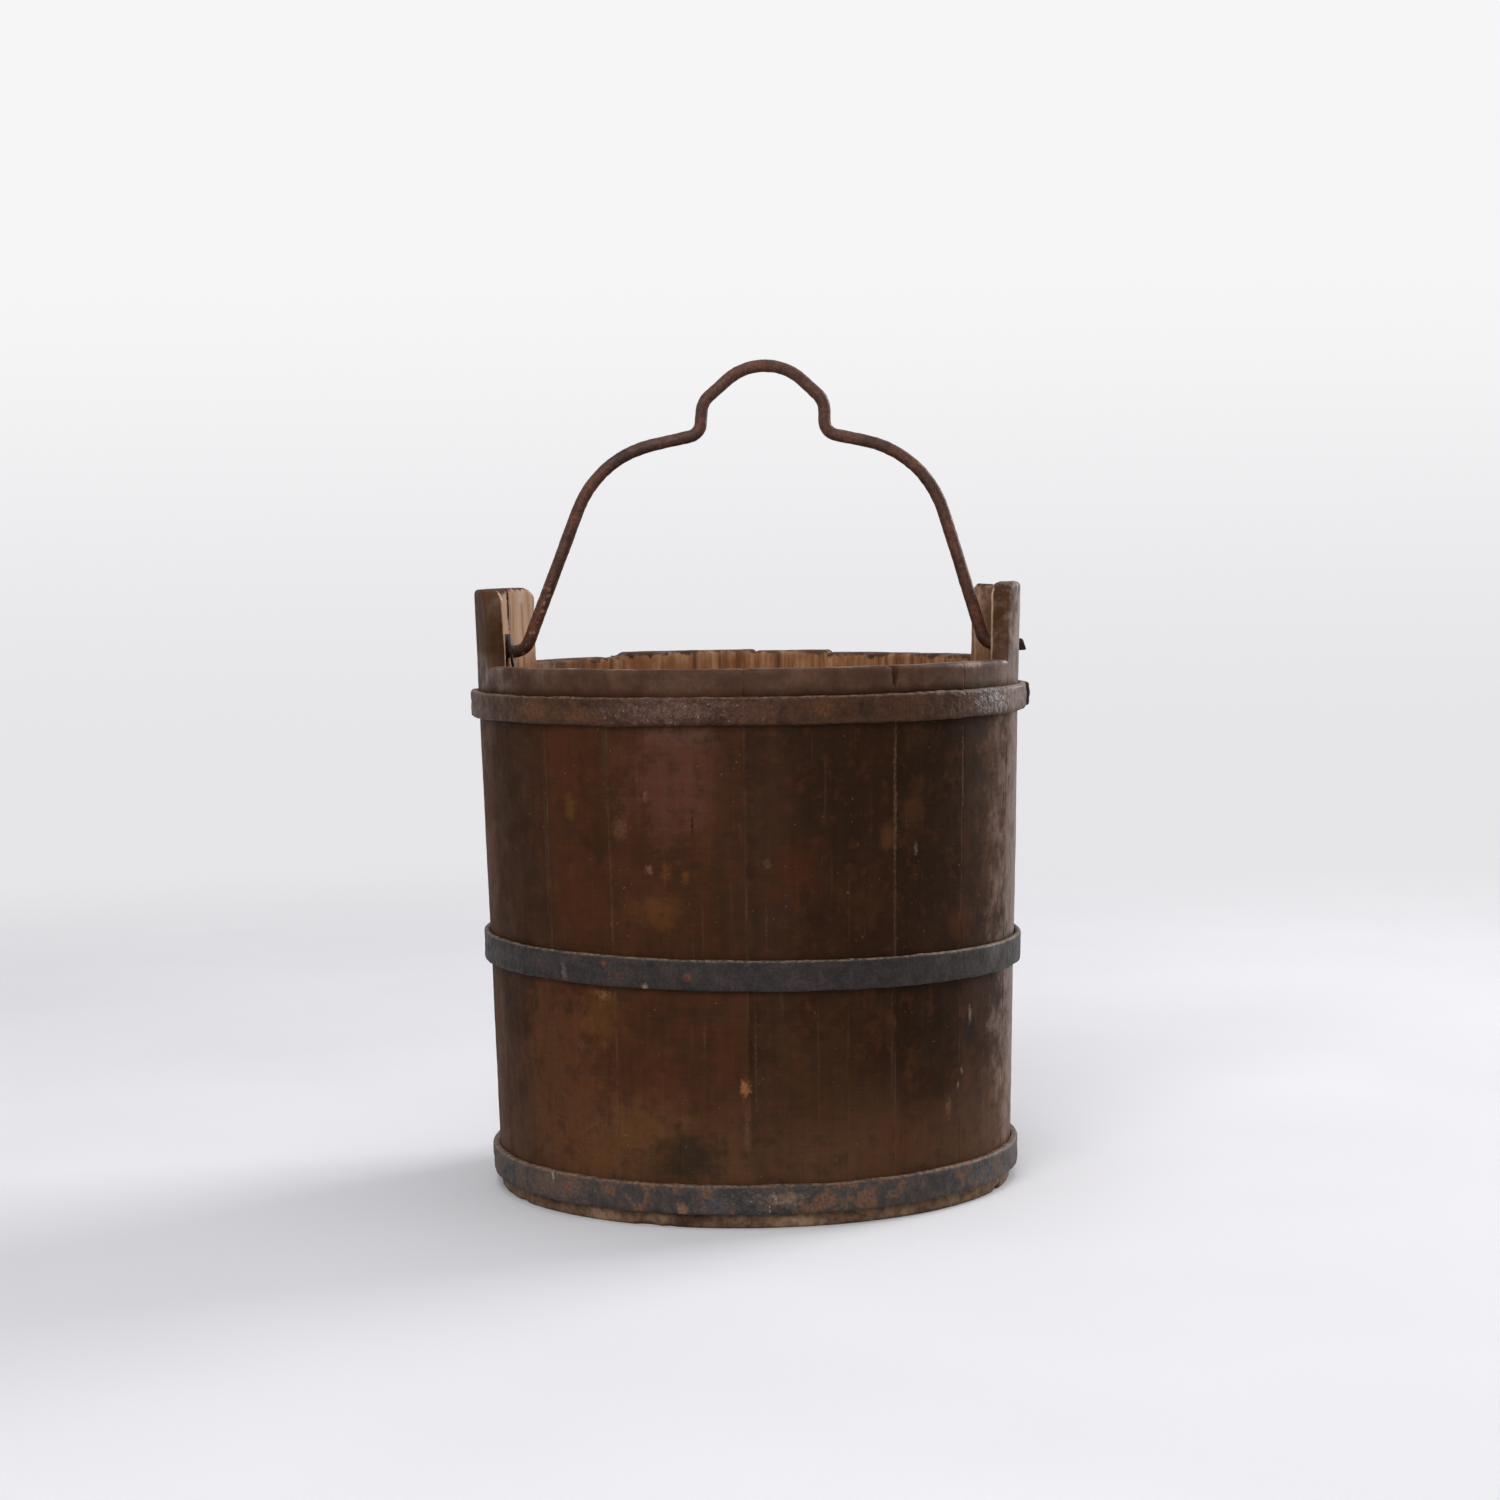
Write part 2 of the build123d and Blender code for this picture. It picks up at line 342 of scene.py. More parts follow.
def stave_blank(start, end, top):
    """A stave as it comes from the bench: leaning, curved, grooved and drilled, with sharp edges."""
    piece = wall_slice(-stave_thickness, stave_thickness, 0, top)
    groove_end = wall_radius((croze_low + croze_high) / 2) - stave_thickness + croze_depth
    score_level(piece, croze_low)
    score_level(piece, croze_high)
    saw(piece, (groove_end, 0, 0), (1, 0, 0), keep_both=True)
    choose(piece, "FACE", lambda middle: croze_low < middle.z < croze_high and middle.x < groove_end)
    bpy.ops.mesh.delete(type="FACE")
    carry_round(piece, start, end - start)
    for joint in (start, end):
        square = (-math.sin(joint), math.cos(joint), 0)
        for height in peg_heights:
            middle = wall_place(joint, height, stave_thickness / 2)
            drill(piece, middle, square, peg_hole_radius, peg_hole_depth)
    return piece


print("croze depth:", croze_depth)

# %% [markdown]
# Age gives every stave its own chips. The list below holds the ones that show: the open joint in the
# front of the rim, ragged ends on the back of the rim, and the bites along the foot where the bucket was
# set down on stones. A chip in the mesh breaks the outline, which a dark spot in the finish could not.
# Each is an angle in degrees, a height and an inset in millimetres, and three half sizes.

# %% Chips
chips = {
    "stave_front_1": [(214, 291.6, 0, (6, 3, 1.2)), (208, -1, 0, (7, 4, 2.6))],
    "stave_front_3": [
        (246.6, -0.8, -1, (9, 4.5, 3.6)),
        (251.5, -0.6, -1, (5, 4, 2.4)),
        (258, 291.8, 0, (9, 3, 1.2)),
    ],
    "stave_front_4": [(300.6, 292, 1, (2.7, 7, 13)), (299.3, 292, 2, (2.6, 4, 2))],
    "stave_front_5": [(300.4, 292, 1, (2.2, 7, 13)), (309, 291.6, 0, (5, 3, 1.2))],
    "stave_front_6": [(327, 291.8, 0, (8, 3, 1.4)), (338, -1, -1, (9, 5, 4.5))],
    "stave_back_1": [(35, 290.2, 9, (8, 4, 1.6))],
    "stave_back_2": [(58, 290.6, 8, (9, 4, 1.5)), (66, -0.8, 0, (7, 4, 3))],
    "stave_back_3": [(80, 291.9, 9, (6, 4, 1.6))],
    "stave_back_4": [
        (122.6, 292.9, 5, (5, 9, 3.2)),
        (112, 292.8, 9, (7, 4, 1.6)),
        (100, -0.8, 0, (6, 4, 2.4)),
    ],
    "stave_back_5": [
        (125.5, 290.5, 5, (6, 9, 1.6)),
        (139, 290.4, 9, (9, 4, 1.8)),
        (131, -0.8, 0, (8, 4, 2.8)),
    ],
    "ear_stave_left": [
        (166, 328, 11, (1.2, 6, 20)),
        (158.5, 327, 11.8, (4.2, 1.4, 5.5)),
        (186, -0.8, 0, (9, 4, 2.6)),
    ],
    "ear_stave_right": [
        (15, 335.6, 6, (26, 14, 6.2)),
        (-18.5, 333, 0, (6, 4, 2.6)),
        (-6, -0.6, 0, (8, 4, 3)),
    ],
}


def chip(piece, name):
    """Breaks the listed chips out of a stave."""
    for angle, height, inset, half_sizes in chips.get(name, []):
        turn = math.radians(angle)
        place = wall_place(turn, height * mm, inset * mm)
        bite(piece, place, in_mm(*half_sizes), turn + math.pi / 2)


print("chips listed:", sum(len(found) for found in chips.values()))

# %% [markdown]
# An ear is a taller stave. Its top corners are whittled round: five flat saw cuts, each tangent to the
# corner's arc, leave the same faint facets as a drawknife, where a bevel would leave a machine's curve.
# The hole for the bail is drilled through on the line of the joint that the frame gives.

# %% Ears
hinge = Vector(frame["joints"][0]["pos_m"])
ear_corner = 15 * mm
whittle_cuts = 5
bail_hole_radius = 3.85 * mm
bail_hole_depth = 4 * stave_thickness


def whittle(piece, start, end, top):
    """Rounds both top corners of an ear with flat cuts."""
    edges = [wall_radius(top) * math.sin(angle) for angle in (start, end)]
    for edge, side in ((min(edges), -1), (max(edges), 1)):
        centre = Vector((0, edge - side * ear_corner, top - ear_corner))
        for number in range(whittle_cuts):
            lean = math.pi / 2 * (number + 1) / (whittle_cuts + 1)
            normal = Vector((0, side * math.cos(lean), math.sin(lean)))
            saw(piece, centre + normal * ear_corner, normal)


def bore_for_bail(piece, side):
    """Drills the hole that the bail turns in."""
    place = (side * wall_radius(hinge.z), 0, hinge.z)
    drill(piece, place, (1, 0, 0), bail_hole_radius, bail_hole_depth)


print("bail hole height:", hinge.z)

# %% [markdown]
# Wear rounds the edges that hands, stones and water reach: both ends of a stave, and the long sides of an
# ear above the rim. The joints stay sharp, because each stave shields the next. A Bevel modifier would
# round them all, so the edges are chosen by place, and the bevel operator works on those alone.

# %% Worn edges
worn_top = 2.2 * mm
worn_edge = 1.0 * mm
sharp_turn = math.radians(40)
lip_reach = 4.5 * mm
edge_reach = 0.5 * mm


def break_edges(piece, top):
    """Rounds a stave's ends, and the long edges of an ear above the rim."""
    open_from = min(top, rim_height + lip_reach) - edge_reach

    def in_the_open(middle):
        at_hole = (middle.yz - hinge.yz).length < 2 * bail_hole_radius
        return middle.z > open_from and not at_hole

    if top > rim_height + ear_corner:
        score_level(piece, rim_height)
    choose(piece, "EDGE", in_the_open, sharp_turn)
    bpy.ops.mesh.bevel(offset=worn_top, segments=3, affect="EDGES")
    choose(piece, "EDGE", lambda middle: middle.z < edge_reach, sharp_turn)
    bpy.ops.mesh.bevel(offset=worn_edge, segments=2, affect="EDGES")
    put_down()
    close_up(piece)


print("worn edges, top and foot:", worn_top, worn_edge)

# %% [markdown]
# Now the thirteen staves are made. After the bevel and the chips, each is knitted into an even skin and
# dented three times: broad waves from the plane, long narrow waves along the grain, and small knocks.
# Each stave also carries notes for its finish: how far a point is from the nearest joint, how far it is
# below the stave's top, and three random numbers of its own.

# %% Make the staves
joint_squeeze = 0.45 * mm
stave_voxel = 1.1 * mm
plane_waves = in_mm(60, 60, 90)
plane_depth = 1.0 * mm
grain_waves = in_mm(4.5, 4.5, 90)
grain_depth = 0.14 * mm
knocks = in_mm(9, 9, 9)
knock_depth = 0.35 * mm
dice = np.random.default_rng(13)


def note_stave(piece, start, end, top):
    """Leaves the notes that the stave finish reads."""
    points = points_of(piece)
    around = np.arctan2(points[:, 1], points[:, 0])
    radius = np.hypot(points[:, 0], points[:, 1])
    turns = [np.abs((around - joint + math.pi) % (2 * math.pi) - math.pi) for joint in (start, end)]
    note(piece, "joint_gap", np.minimum(*turns) * radius)
    note(piece, "below_top", top - points[:, 2])
    note_for_all(piece, "plank", dice.random(3))


def worn_stave(name):
    """One stave, from its slice to its worn skin."""
    start, end, top = stave_span(name)
    squeeze = joint_squeeze / rim_radius
    piece = stave_blank(start - squeeze, end + squeeze, top)
    if name.startswith("ear"):
        whittle(piece, start, end, top)
        bore_for_bail(piece, math.copysign(1, math.cos((start + end) / 2)))
    break_edges(piece, top)
    chip(piece, name)
    knit(piece, stave_voxel)
    dent(piece, plane_waves, plane_depth)
    dent(piece, grain_waves, grain_depth)
    dent(piece, knocks, knock_depth)
    note_stave(piece, start, end, top)
    hand_over(piece, name, "bucket")
    return piece


stave_kinds = ("ear_stave", "stave_front", "stave_back")
stave_names = sorted(name for name in frame["nodes"] if name.startswith(stave_kinds))
staves = {name: worn_stave(name) for name in stave_names}
print("staves:", len(staves))

# %% [markdown]
# ## Bottom
#
# Three boards, dowelled edge to edge and sawn round. The round starts as a cylinder. A band of its side,
# between two saw lines, is extruded outwards as the tongue that sits in the croze. Three copies of it are
# then sawn to the left, middle and right boards, as a cooper would saw one round, so that the tongue runs
# on from board to board. Slightly rounded edges make the joints show as fine lines.

# %% Make the bottom boards
bottom_low = 13 * mm
bottom_high = 27 * mm
bottom_middle = (bottom_low + bottom_high) / 2
bottom_clearance = 0.3 * mm
bottom_radius = wall_radius(bottom_low) - stave_thickness - bottom_clearance
bottom_sides = 160
tongue_length = croze_depth + wall_radius(bottom_middle) - wall_radius(bottom_low)
dowel_hole_radius = 3.15 * mm
dowel_hole_depth = 38.3 * mm
dowel_reach = 60 * mm
board_voxel = 1.6 * mm
board_waves = in_mm(60, 60, 60)
board_wave_depth = 0.8 * mm
board_grain = in_mm(4, 70, 4)
board_grain_depth = 0.5 * mm


def bottom_round():
    """The whole bottom with its tongue."""
    size = {"vertices": bottom_sides, "radius": bottom_radius, "depth": bottom_high - bottom_low}
    piece = start_from(bpy.ops.mesh.primitive_cylinder_add, location=(0, 0, bottom_middle), **size)
    score_level(piece, croze_low + bottom_clearance)
    score_level(piece, croze_high - bottom_clearance)
    choose(piece, "FACE", lambda middle: abs(middle.z - bottom_middle) < near and middle.xy.length > near)
    bpy.ops.mesh.extrude_region_shrink_fatten(TRANSFORM_OT_shrink_fatten={"value": tongue_length})
    put_down()
    return piece


def bottom_board(name):
    """One board, sawn from the round at the joints of its CAD node."""
    low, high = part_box(name)
    piece = bottom_round()
    for x, side in ((low.x, -1), (high.x, 1)):
        if abs(x) < bottom_radius:
            saw(piece, (x, 0, 0), (side, 0, 0))
            for y in (-dowel_reach, dowel_reach):
                drill(piece, (x, y, bottom_middle), (1, 0, 0), dowel_hole_radius, dowel_hole_depth)
    soften(piece, worn_edge, sharp_turn)
    knit(piece, board_voxel)
    dent(piece, board_waves, board_wave_depth)
    dent(piece, board_grain, board_grain_depth)
    note_for_all(piece, "plank", dice.random(3))
    hand_over(piece, name, "bucket")
    return piece


boards = [bottom_board(f"bottom_board_{place}") for place in ("left", "middle", "right")]
print("boards:", len(boards))

# %% [markdown]
# ## Hoops
#
# A smith bends a strip of iron into a ring, thins one end, laps it over the other and rivets the two. The
# ring, the thinned tongue and the step between them are three slices, spun and joined. The Remesh
# modifier forges them into one skin, and two layers of noise give it hammer marks and pits. A plain torus
# would have neither lap nor lean. The middle hoop has slipped and sits at a slight tilt.

# %% Make the hoops
hoop_clearance = 0.1 * mm
lap_length = 46 * mm
lap_thickness = 2.6 * mm
lap_corner = lap_thickness / 3
lap_inset = 0.8 * mm
lap_gap = 0.15 * mm
lap_root = 12 * mm
slit_width = 1.2 * mm
rivet_hole_radius = 2.65 * mm
rivet_hole_depth = 20 * mm
rivet_spacing = 22 * mm
hoop_voxel = 1.0 * mm
hammer_marks = in_mm(28, 28, 14)
pit_sizes = in_mm(3.2, 3.2, 3.2)


def strip(gap, thickness, low, high, corner, start, angle):
    """An arc of iron strip with rounded outer edges."""
    piece = wall_slice(gap, thickness, low, high)
    middle = wall_radius((low + high) / 2) + gap + thickness / 2
    choose(piece, "VERT", lambda point: point.x > middle + (point.z - (low + high) / 2) * taper)
    bpy.ops.mesh.bevel(offset=corner, segments=4, affect="VERTICES")
    carry_round(piece, start, angle)
    return piece


def lapped_ring(gap, thickness, low, high, corner, outside):
    """A strip bent to a ring, with its thinned end lapped over the other, knitted and drilled."""
    slit, lap, root = (length / outside for length in (slit_width, lap_length, lap_root))
    lapped = (low + lap_inset, high - lap_inset, lap_corner)
    ring = strip(gap, thickness, low, high, corner, slit, 2 * math.pi - slit)
    tongue = strip(gap + thickness + lap_gap, lap_thickness, *lapped, -lap, lap + slit + root)
    step = strip(gap + thickness / 2, (thickness + lap_thickness) / 2, *lapped, slit, root)
    pick_up(ring, tongue, step)
    bpy.ops.object.join()
    knit(ring, hoop_voxel)
    for offset in (-rivet_spacing / 2, rivet_spacing / 2):
        turn = (offset - lap_length / 2) / outside
        out = Vector((math.cos(turn), math.sin(turn), 0))
        middle = out * outside + Vector((0, 0, (low + high) / 2))
        drill(ring, middle, out, rivet_hole_radius, rivet_hole_depth)
    return ring


def hoop(name, low, height, thickness, corner, lap_at, tilt, hammer, pits):
    """A lapped and riveted hoop. Lap_at and tilt are in degrees, hammer and pits are depths."""
    high = low + height
    middle = low + height / 2
    lean = math.radians(tilt)
    room_to_lean = math.sin(lean) * (taper * rim_radius + height / 2) + rim_radius * (1 - math.cos(lean))
    gap = hoop_clearance + room_to_lean
    outside = wall_radius(middle) + gap + thickness
    ring = lapped_ring(gap, thickness, low, high, corner, outside)
    points = points_of(ring)
    face = wall_radius(points[:, 2]) + gap + thickness
    note(ring, "below_top", high - points[:, 2])
    note(ring, "on_lap", np.hypot(points[:, 0], points[:, 1]) - face)
    ring.matrix_world = (
        Matrix.Translation((0, 0, middle))
        @ Matrix.Rotation(lean, 4, "Y")
        @ Matrix.Translation((0, 0, -middle))
        @ Matrix.Rotation(math.radians(lap_at) + lap_length / outside, 4, "Z")
    )
    settle(ring)
    dent(ring, hammer_marks, hammer)
    dent(ring, pit_sizes, pits, octaves=3)
    hand_over(ring, name, "bucket")
    return ring


hoop_sizes = {
    "hoop_top": dict(
        low=262 * mm, height=14.8 * mm, thickness=4.4 * mm, corner=2 * mm,
        lap_at=1, tilt=0, hammer=1.5 * mm, pits=0.9 * mm,
    ),
    "hoop_middle": dict(
        low=124.6 * mm, height=16.2 * mm, thickness=3.4 * mm, corner=1 * mm,
        lap_at=104, tilt=1, hammer=1.0 * mm, pits=0.5 * mm,
    ),
    "hoop_bottom": dict(
        low=7.8 * mm, height=15.4 * mm, thickness=4 * mm, corner=1.4 * mm,
        lap_at=62, tilt=0, hammer=1.3 * mm, pits=0.9 * mm,
    ),
}
hoops = {name: hoop(name, **sizes) for name, sizes in hoop_sizes.items()}
print("hoops:", len(hoops))

# %% [markdown]
# ## Bail
#
# The bail is one round rod that a smith bent over an anvil. It is drawn corner by corner: each corner is a
# distance from the middle, a height above the hinge and the radius of its bend. Half of the bail is
# written down, from the ear up to the crown, and the other half mirrors it. Use has pushed the bail a
# little to the right, more so towards the top.

# %% Draw the bail's line
ear_outside = wall_radius(hinge.z)
bail_slide = 4 * mm
crown_shift = 10.5 * mm
crown_height = 137.5 * mm
end_proud = 1 * mm
hook_clear = 11.9 * mm
rod_end = (ear_outside + end_proud, 0, 0)
hook = (ear_outside - stave_thickness - hook_clear, 0, 9.5 * mm)
shoulder = in_mm(91.4, 107.6, 58)
neck_low = in_mm(34.8, 119.6, 8)
neck_high = (34 * mm, crown_height, 12 * mm)
crown_peak = in_mm(0, 168, 31.5)
bail_half = [rod_end, hook, shoulder, neck_low, neck_high]


def bail_corner(x, z, bend):
    """A corner of the bail's line, pushed to the right more and more with height, and its bend."""
    pushed = x + bail_slide + (crown_shift - bail_slide) * z / crown_height
    return Vector((pushed, 0, hinge.z + z)), bend


bail_line = [bail_corner(-x, z, bend) for x, z, bend in bail_half]
bail_line += [bail_corner(*corner) for corner in [crown_peak, *reversed(bail_half)]]
print("bail corners:", len(bail_line))

# %% [markdown]
# A filled circle is extruded along each straight run and spun round each bend. A curve with a round
# profile would be quicker, but here every bend has its own true radius and the rod keeps its thickness
# all the way. The right end is cut at a slant, as a chisel leaves it.

# %% Bend the rod along the line
rod_radius = 3.5 * mm
rod_sides = 20
bend_step = math.radians(6)
end_slant = 1.2 * mm
end_corner = 1 * mm
end_turn = math.radians(60)
bail_voxel = 0.7 * mm
rod_waves = in_mm(16, 16, 16)
rod_wave_depth = 0.5 * mm
rod_pits = in_mm(3, 3, 3)
rod_pit_depth = 0.35 * mm


def extrude_by(move):
    """Draws the chosen end on in a straight line."""
    bpy.ops.mesh.extrude_region_move(TRANSFORM_OT_translate={"value": move})


def bent_rod(line, radius):
    """A round rod along corners with bends, made of straight runs and spun arcs."""
    here = line[0][0]
    disc = {"vertices": rod_sides, "radius": radius, "fill_type": "NGON", "location": here}
    rod = start_from(bpy.ops.mesh.primitive_circle_add, rotation=(0, math.pi / 2, 0), **disc)
    choose(rod, "FACE")
    for before, (corner, bend), after in zip(line, line[1:], line[2:]):
        arriving = (corner - before[0]).normalized()
        leaving = (after[0] - corner).normalized()
        turn = arriving.angle(leaving)
        arc_start = corner - arriving * bend * math.tan(turn / 2)
        extrude_by(arc_start - here)
        inwards = (leaving - arriving * arriving.dot(leaving)).normalized()
        steps = max(3, round(turn / bend_step))
        axis = arriving.cross(leaving).normalized()
        bpy.ops.mesh.spin(steps=steps, angle=-turn, center=arc_start + inwards * bend, axis=axis)
        here = corner + leaving * bend * math.tan(turn / 2)
    extrude_by(line[-1][0] - here)
    put_down()
    close_up(rod)
    return rod


bail = bent_rod(bail_line, rod_radius)
saw(bail, bail_line[-1][0] - Vector((end_slant, 0, 0)), (1, 0, end_slant / rod_radius))
soften(bail, end_corner, end_turn)
knit(bail, bail_voxel)
dent(bail, rod_waves, rod_wave_depth)
dent(bail, rod_pits, rod_pit_depth, octaves=3)
hand_over(bail, "bail", "bail")

# %% [markdown]
# ## A box of finishes
#
# A finish is a node tree on a Principled shader. It could be drawn by hand in the Shader editor, but the
# small class below writes such trees with a line for each thought: a noise, a fade between two limits, a
# stain over a colour. Every pattern reads Object coordinates, which are real metres on this object, or a
# note that was left on the mesh. Colours are written as they look on a screen, from 0 to 255, and turned
# into the linear values that the shader wants.

# %% The class that writes node trees


def tone(red, green, blue):
    """A screen colour as a linear colour with alpha."""
    linear = []
    for value in (red, green, blue):
        share = value / 255
        linear.append(share / 12.92 if share <= 0.04045 else ((share + 0.055) / 1.055) ** 2.4)
    return (*linear, 1.0)


class Finish:
    """A material under construction."""

    def __init__(self, name):
        self.material = bpy.data.materials.new(name)
        self.material.use_nodes = True
        self.nodes = self.material.node_tree.nodes
        self.links = self.material.node_tree.links
        self.shader = self.nodes["Principled BSDF"]
        self.place = self.node("ShaderNodeTexCoord").outputs["Object"]

    def set(self, socket, value):
        """Links another node's socket, or writes a plain value."""
        if isinstance(value, bpy.types.NodeSocket):
            self.links.new(value, socket)
        else:
            socket.default_value = value

    def node(self, kind, inputs=None, **settings):
        """Adds a node, with its settings and inputs."""
        node = self.nodes.new(kind)
        for name, value in settings.items():
            setattr(node, name, value)
        for key, value in (inputs or {}).items():
            self.set(node.inputs[key], value)
        return node

    def note(self, name, output="Fac"):
        """A value that was written on the mesh."""
        return self.node("ShaderNodeAttribute", attribute_name=name).outputs[output]

    def axis(self, name):
        """X, Y or Z of the place."""
        return self.node("ShaderNodeSeparateXYZ", {0: self.place}).outputs[name]

    def vector(self, operation, *vectors):
        """One sum on vectors."""
        inputs = dict(enumerate(vectors))
        return self.node("ShaderNodeVectorMath", inputs, operation=operation).outputs[0]

    def length(self, vector):
        """How long a vector is."""
        return self.node("ShaderNodeVectorMath", {0: vector}, operation="LENGTH").outputs["Value"]

    def stretched(self, scale, shift=None):
        """The place squeezed by a scale, so that a pattern runs long where the scale is small."""
        squeezed = self.vector("MULTIPLY", self.place, scale)
        return squeezed if shift is None else self.vector("ADD", squeezed, shift)

    def noise(self, scale, detail, roughness, vector=None):
        """Cloudy noise, from about 0.3 to 0.7, with marks about one over the scale across."""
        inputs = {"Vector": vector or self.place, "Scale": scale, "Detail": detail, "Roughness": roughness}
        return self.node("ShaderNodeTexNoise", inputs).outputs["Fac"]

    def maths(self, operation, *values):
        """One sum on numbers."""
        return self.node("ShaderNodeMath", dict(enumerate(values)), operation=operation).outputs[0]

    def times(self, *values):
        """Values multiplied together."""
        result = values[0]
        for value in values[1:]:
            result = self.maths("MULTIPLY", result, value)
        return result

    def total(self, *products):
        """Products added together. Each is a row of values to multiply."""
        result = self.times(*products[0])
        for product in products[1:]:
            result = self.maths("ADD", result, self.times(*product))
        return result

    def swing(self, noise, width):
        """A noise moved to swing about zero, over a width."""
        return self.maths("MULTIPLY_ADD", noise, width, -width / 2)

    def fade(self, value, low, high, to_low=0.0, to_high=1.0):
        """A smooth step from one limit to the other."""
        inputs = {"Value": value, "From Min": low, "From Max": high, "To Min": to_low, "To Max": to_high}
        return self.node("ShaderNodeMapRange", inputs, interpolation_type="SMOOTHSTEP").outputs["Result"]

    def level(self, share, first, second):
        """The first number, turned to the second by a share."""
        return self.node("ShaderNodeMix", {0: share, 2: first, 3: second}, data_type="FLOAT").outputs[0]

    def mix(self, share, first, second, way="MIX"):
        """The first colour, turned to the second by a share."""
        inputs = {0: share, 6: first, 7: second}
        return self.node("ShaderNodeMix", inputs, data_type="RGBA", blend_type=way).outputs[2]

    def stain(self, colour, new, value, low, high, share=1.0):
        """A colour turned to a new one, up to a share, as a value goes from low to high."""
        return self.mix(self.fade(value, low, high, 0.0, share), colour, new)

    def shade(self, colour, light):
        """A colour made darker or lighter."""
        return self.mix(1.0, colour, light, "MULTIPLY")

    def vary(self, colour, value, low, high, darkest, lightest):
        """A colour made darker or lighter as a value goes from low to high."""
        return self.shade(colour, self.fade(value, low, high, darkest, lightest))

    def ramp(self, value, *stops):
        """A run of colours over a value. Each stop is a place and a colour."""
        node = self.node("ShaderNodeValToRGB", {"Fac": value})
        elements = node.color_ramp.elements
        while len(elements) < len(stops):
            elements.new(0.5)
        for element, (place, colour) in zip(elements, stops):
            element.position = place
            element.color = colour
        return node.outputs["Color"]

    def done(self, colour, roughness, height, distance, strength=1.0, gloss=None):
        """Plugs the colour, roughness, bump and gloss into the shader."""
        bump = self.node("ShaderNodeBump", {"Height": height, "Distance": distance, "Strength": strength})
        self.set(self.shader.inputs["Base Color"], colour)
        self.set(self.shader.inputs["Roughness"], roughness)
        self.set(self.shader.inputs["Normal"], bump.outputs["Normal"])
        if gloss is not None:
            self.set(self.shader.inputs["Specular IOR Level"], gloss)
        print("finish:", self.material.name, "nodes:", len(self.nodes))
        return self.material


def dress(piece, material):
    """Gives a piece its one material."""
    piece.data.materials.clear()
    piece.data.materials.append(material)


print("finish box ready")

# %% [markdown]
# ## Marks by angle and height
#
# Much of what shows on the real bucket sits in one place: a red patch, a chip, a dusty joint. Such a mark
# is written as its angle in degrees, its height in millimetres, two half sizes in millimetres, a colour
# and a strength. It could be painted on by hand, but a line of numbers is easier to move. Its distance is
# measured along the wall and up, then ruffled with noise so that no edge is clean. White marks on black
# make a mask.

# %% Lay marks over a colour
mark_rim = 1.3
mark_core = 0.3
mask_off = tone(0, 0, 0)
mask_on = tone(255, 255, 255)


def wall_map(finish):
    """Angle and height of each point, as one vector."""
    angle = finish.maths("ARCTAN2", finish.axis("Y"), finish.axis("X"))
    return finish.node("ShaderNodeCombineXYZ", {0: angle, 1: finish.axis("Z")}).outputs[0]


def marked(finish, colour, marks, ruffle, wear=None):
    """Lays each mark over a colour, with a ruffled edge, and lets it wear thin where the wear is low."""
    spot = wall_map(finish)
    for angle, height, half_width, half_height, mark, strength in marks.values():
        turn = math.radians(angle if angle < 180 else angle - 360)
        scale = Vector((wall_radius(height * mm) / half_width, 1 / half_height, 0)) / mm
        shift = (-turn * scale.x, -height * mm * scale.y, 0)
        away = finish.length(finish.vector("MULTIPLY_ADD", spot, scale, shift))
        share = finish.fade(finish.maths("ADD", away, ruffle), mark_rim, mark_core, 0.0, strength)
        colour = finish.mix(finish.times(share, wear) if wear else share, colour, mark)
    return colour


print("a mark is full at", mark_core, "and ends at", mark_rim, "of its half size")

# %% [markdown]
# ## Lacquered staves
#
# Outside, the staves wear thin brown lacquer, darkened by hands and smoke. Every plank took it in its own
# way, so each stave has its own brown, which is left on its mesh as a note. Thirteen materials could hold
# thirteen browns, but then every other layer would have to be kept alike in all of them.

# %% Browns of the staves
lacquers = {
    "ear_stave_left": tone(70, 46, 29),
    "ear_stave_right": tone(66, 43, 27),
    "stave_front_1": tone(52, 32, 18),
    "stave_front_2": tone(57, 33, 18),
    "stave_front_3": tone(60, 35, 20),
    "stave_front_4": tone(44, 26, 14),
    "stave_front_5": tone(38, 23, 11),
    "stave_front_6": tone(46, 29, 17),
    "stave_back_1": tone(56, 35, 20),
    "stave_back_2": tone(48, 30, 17),
    "stave_back_3": tone(55, 33, 19),
    "stave_back_4": tone(46, 29, 17),
    "stave_back_5": tone(54, 34, 20),
}
for name, stave in staves.items():
    note_for_all(stave, "lacquer", lacquers[name][:3])
print("browns:", len(lacquers))
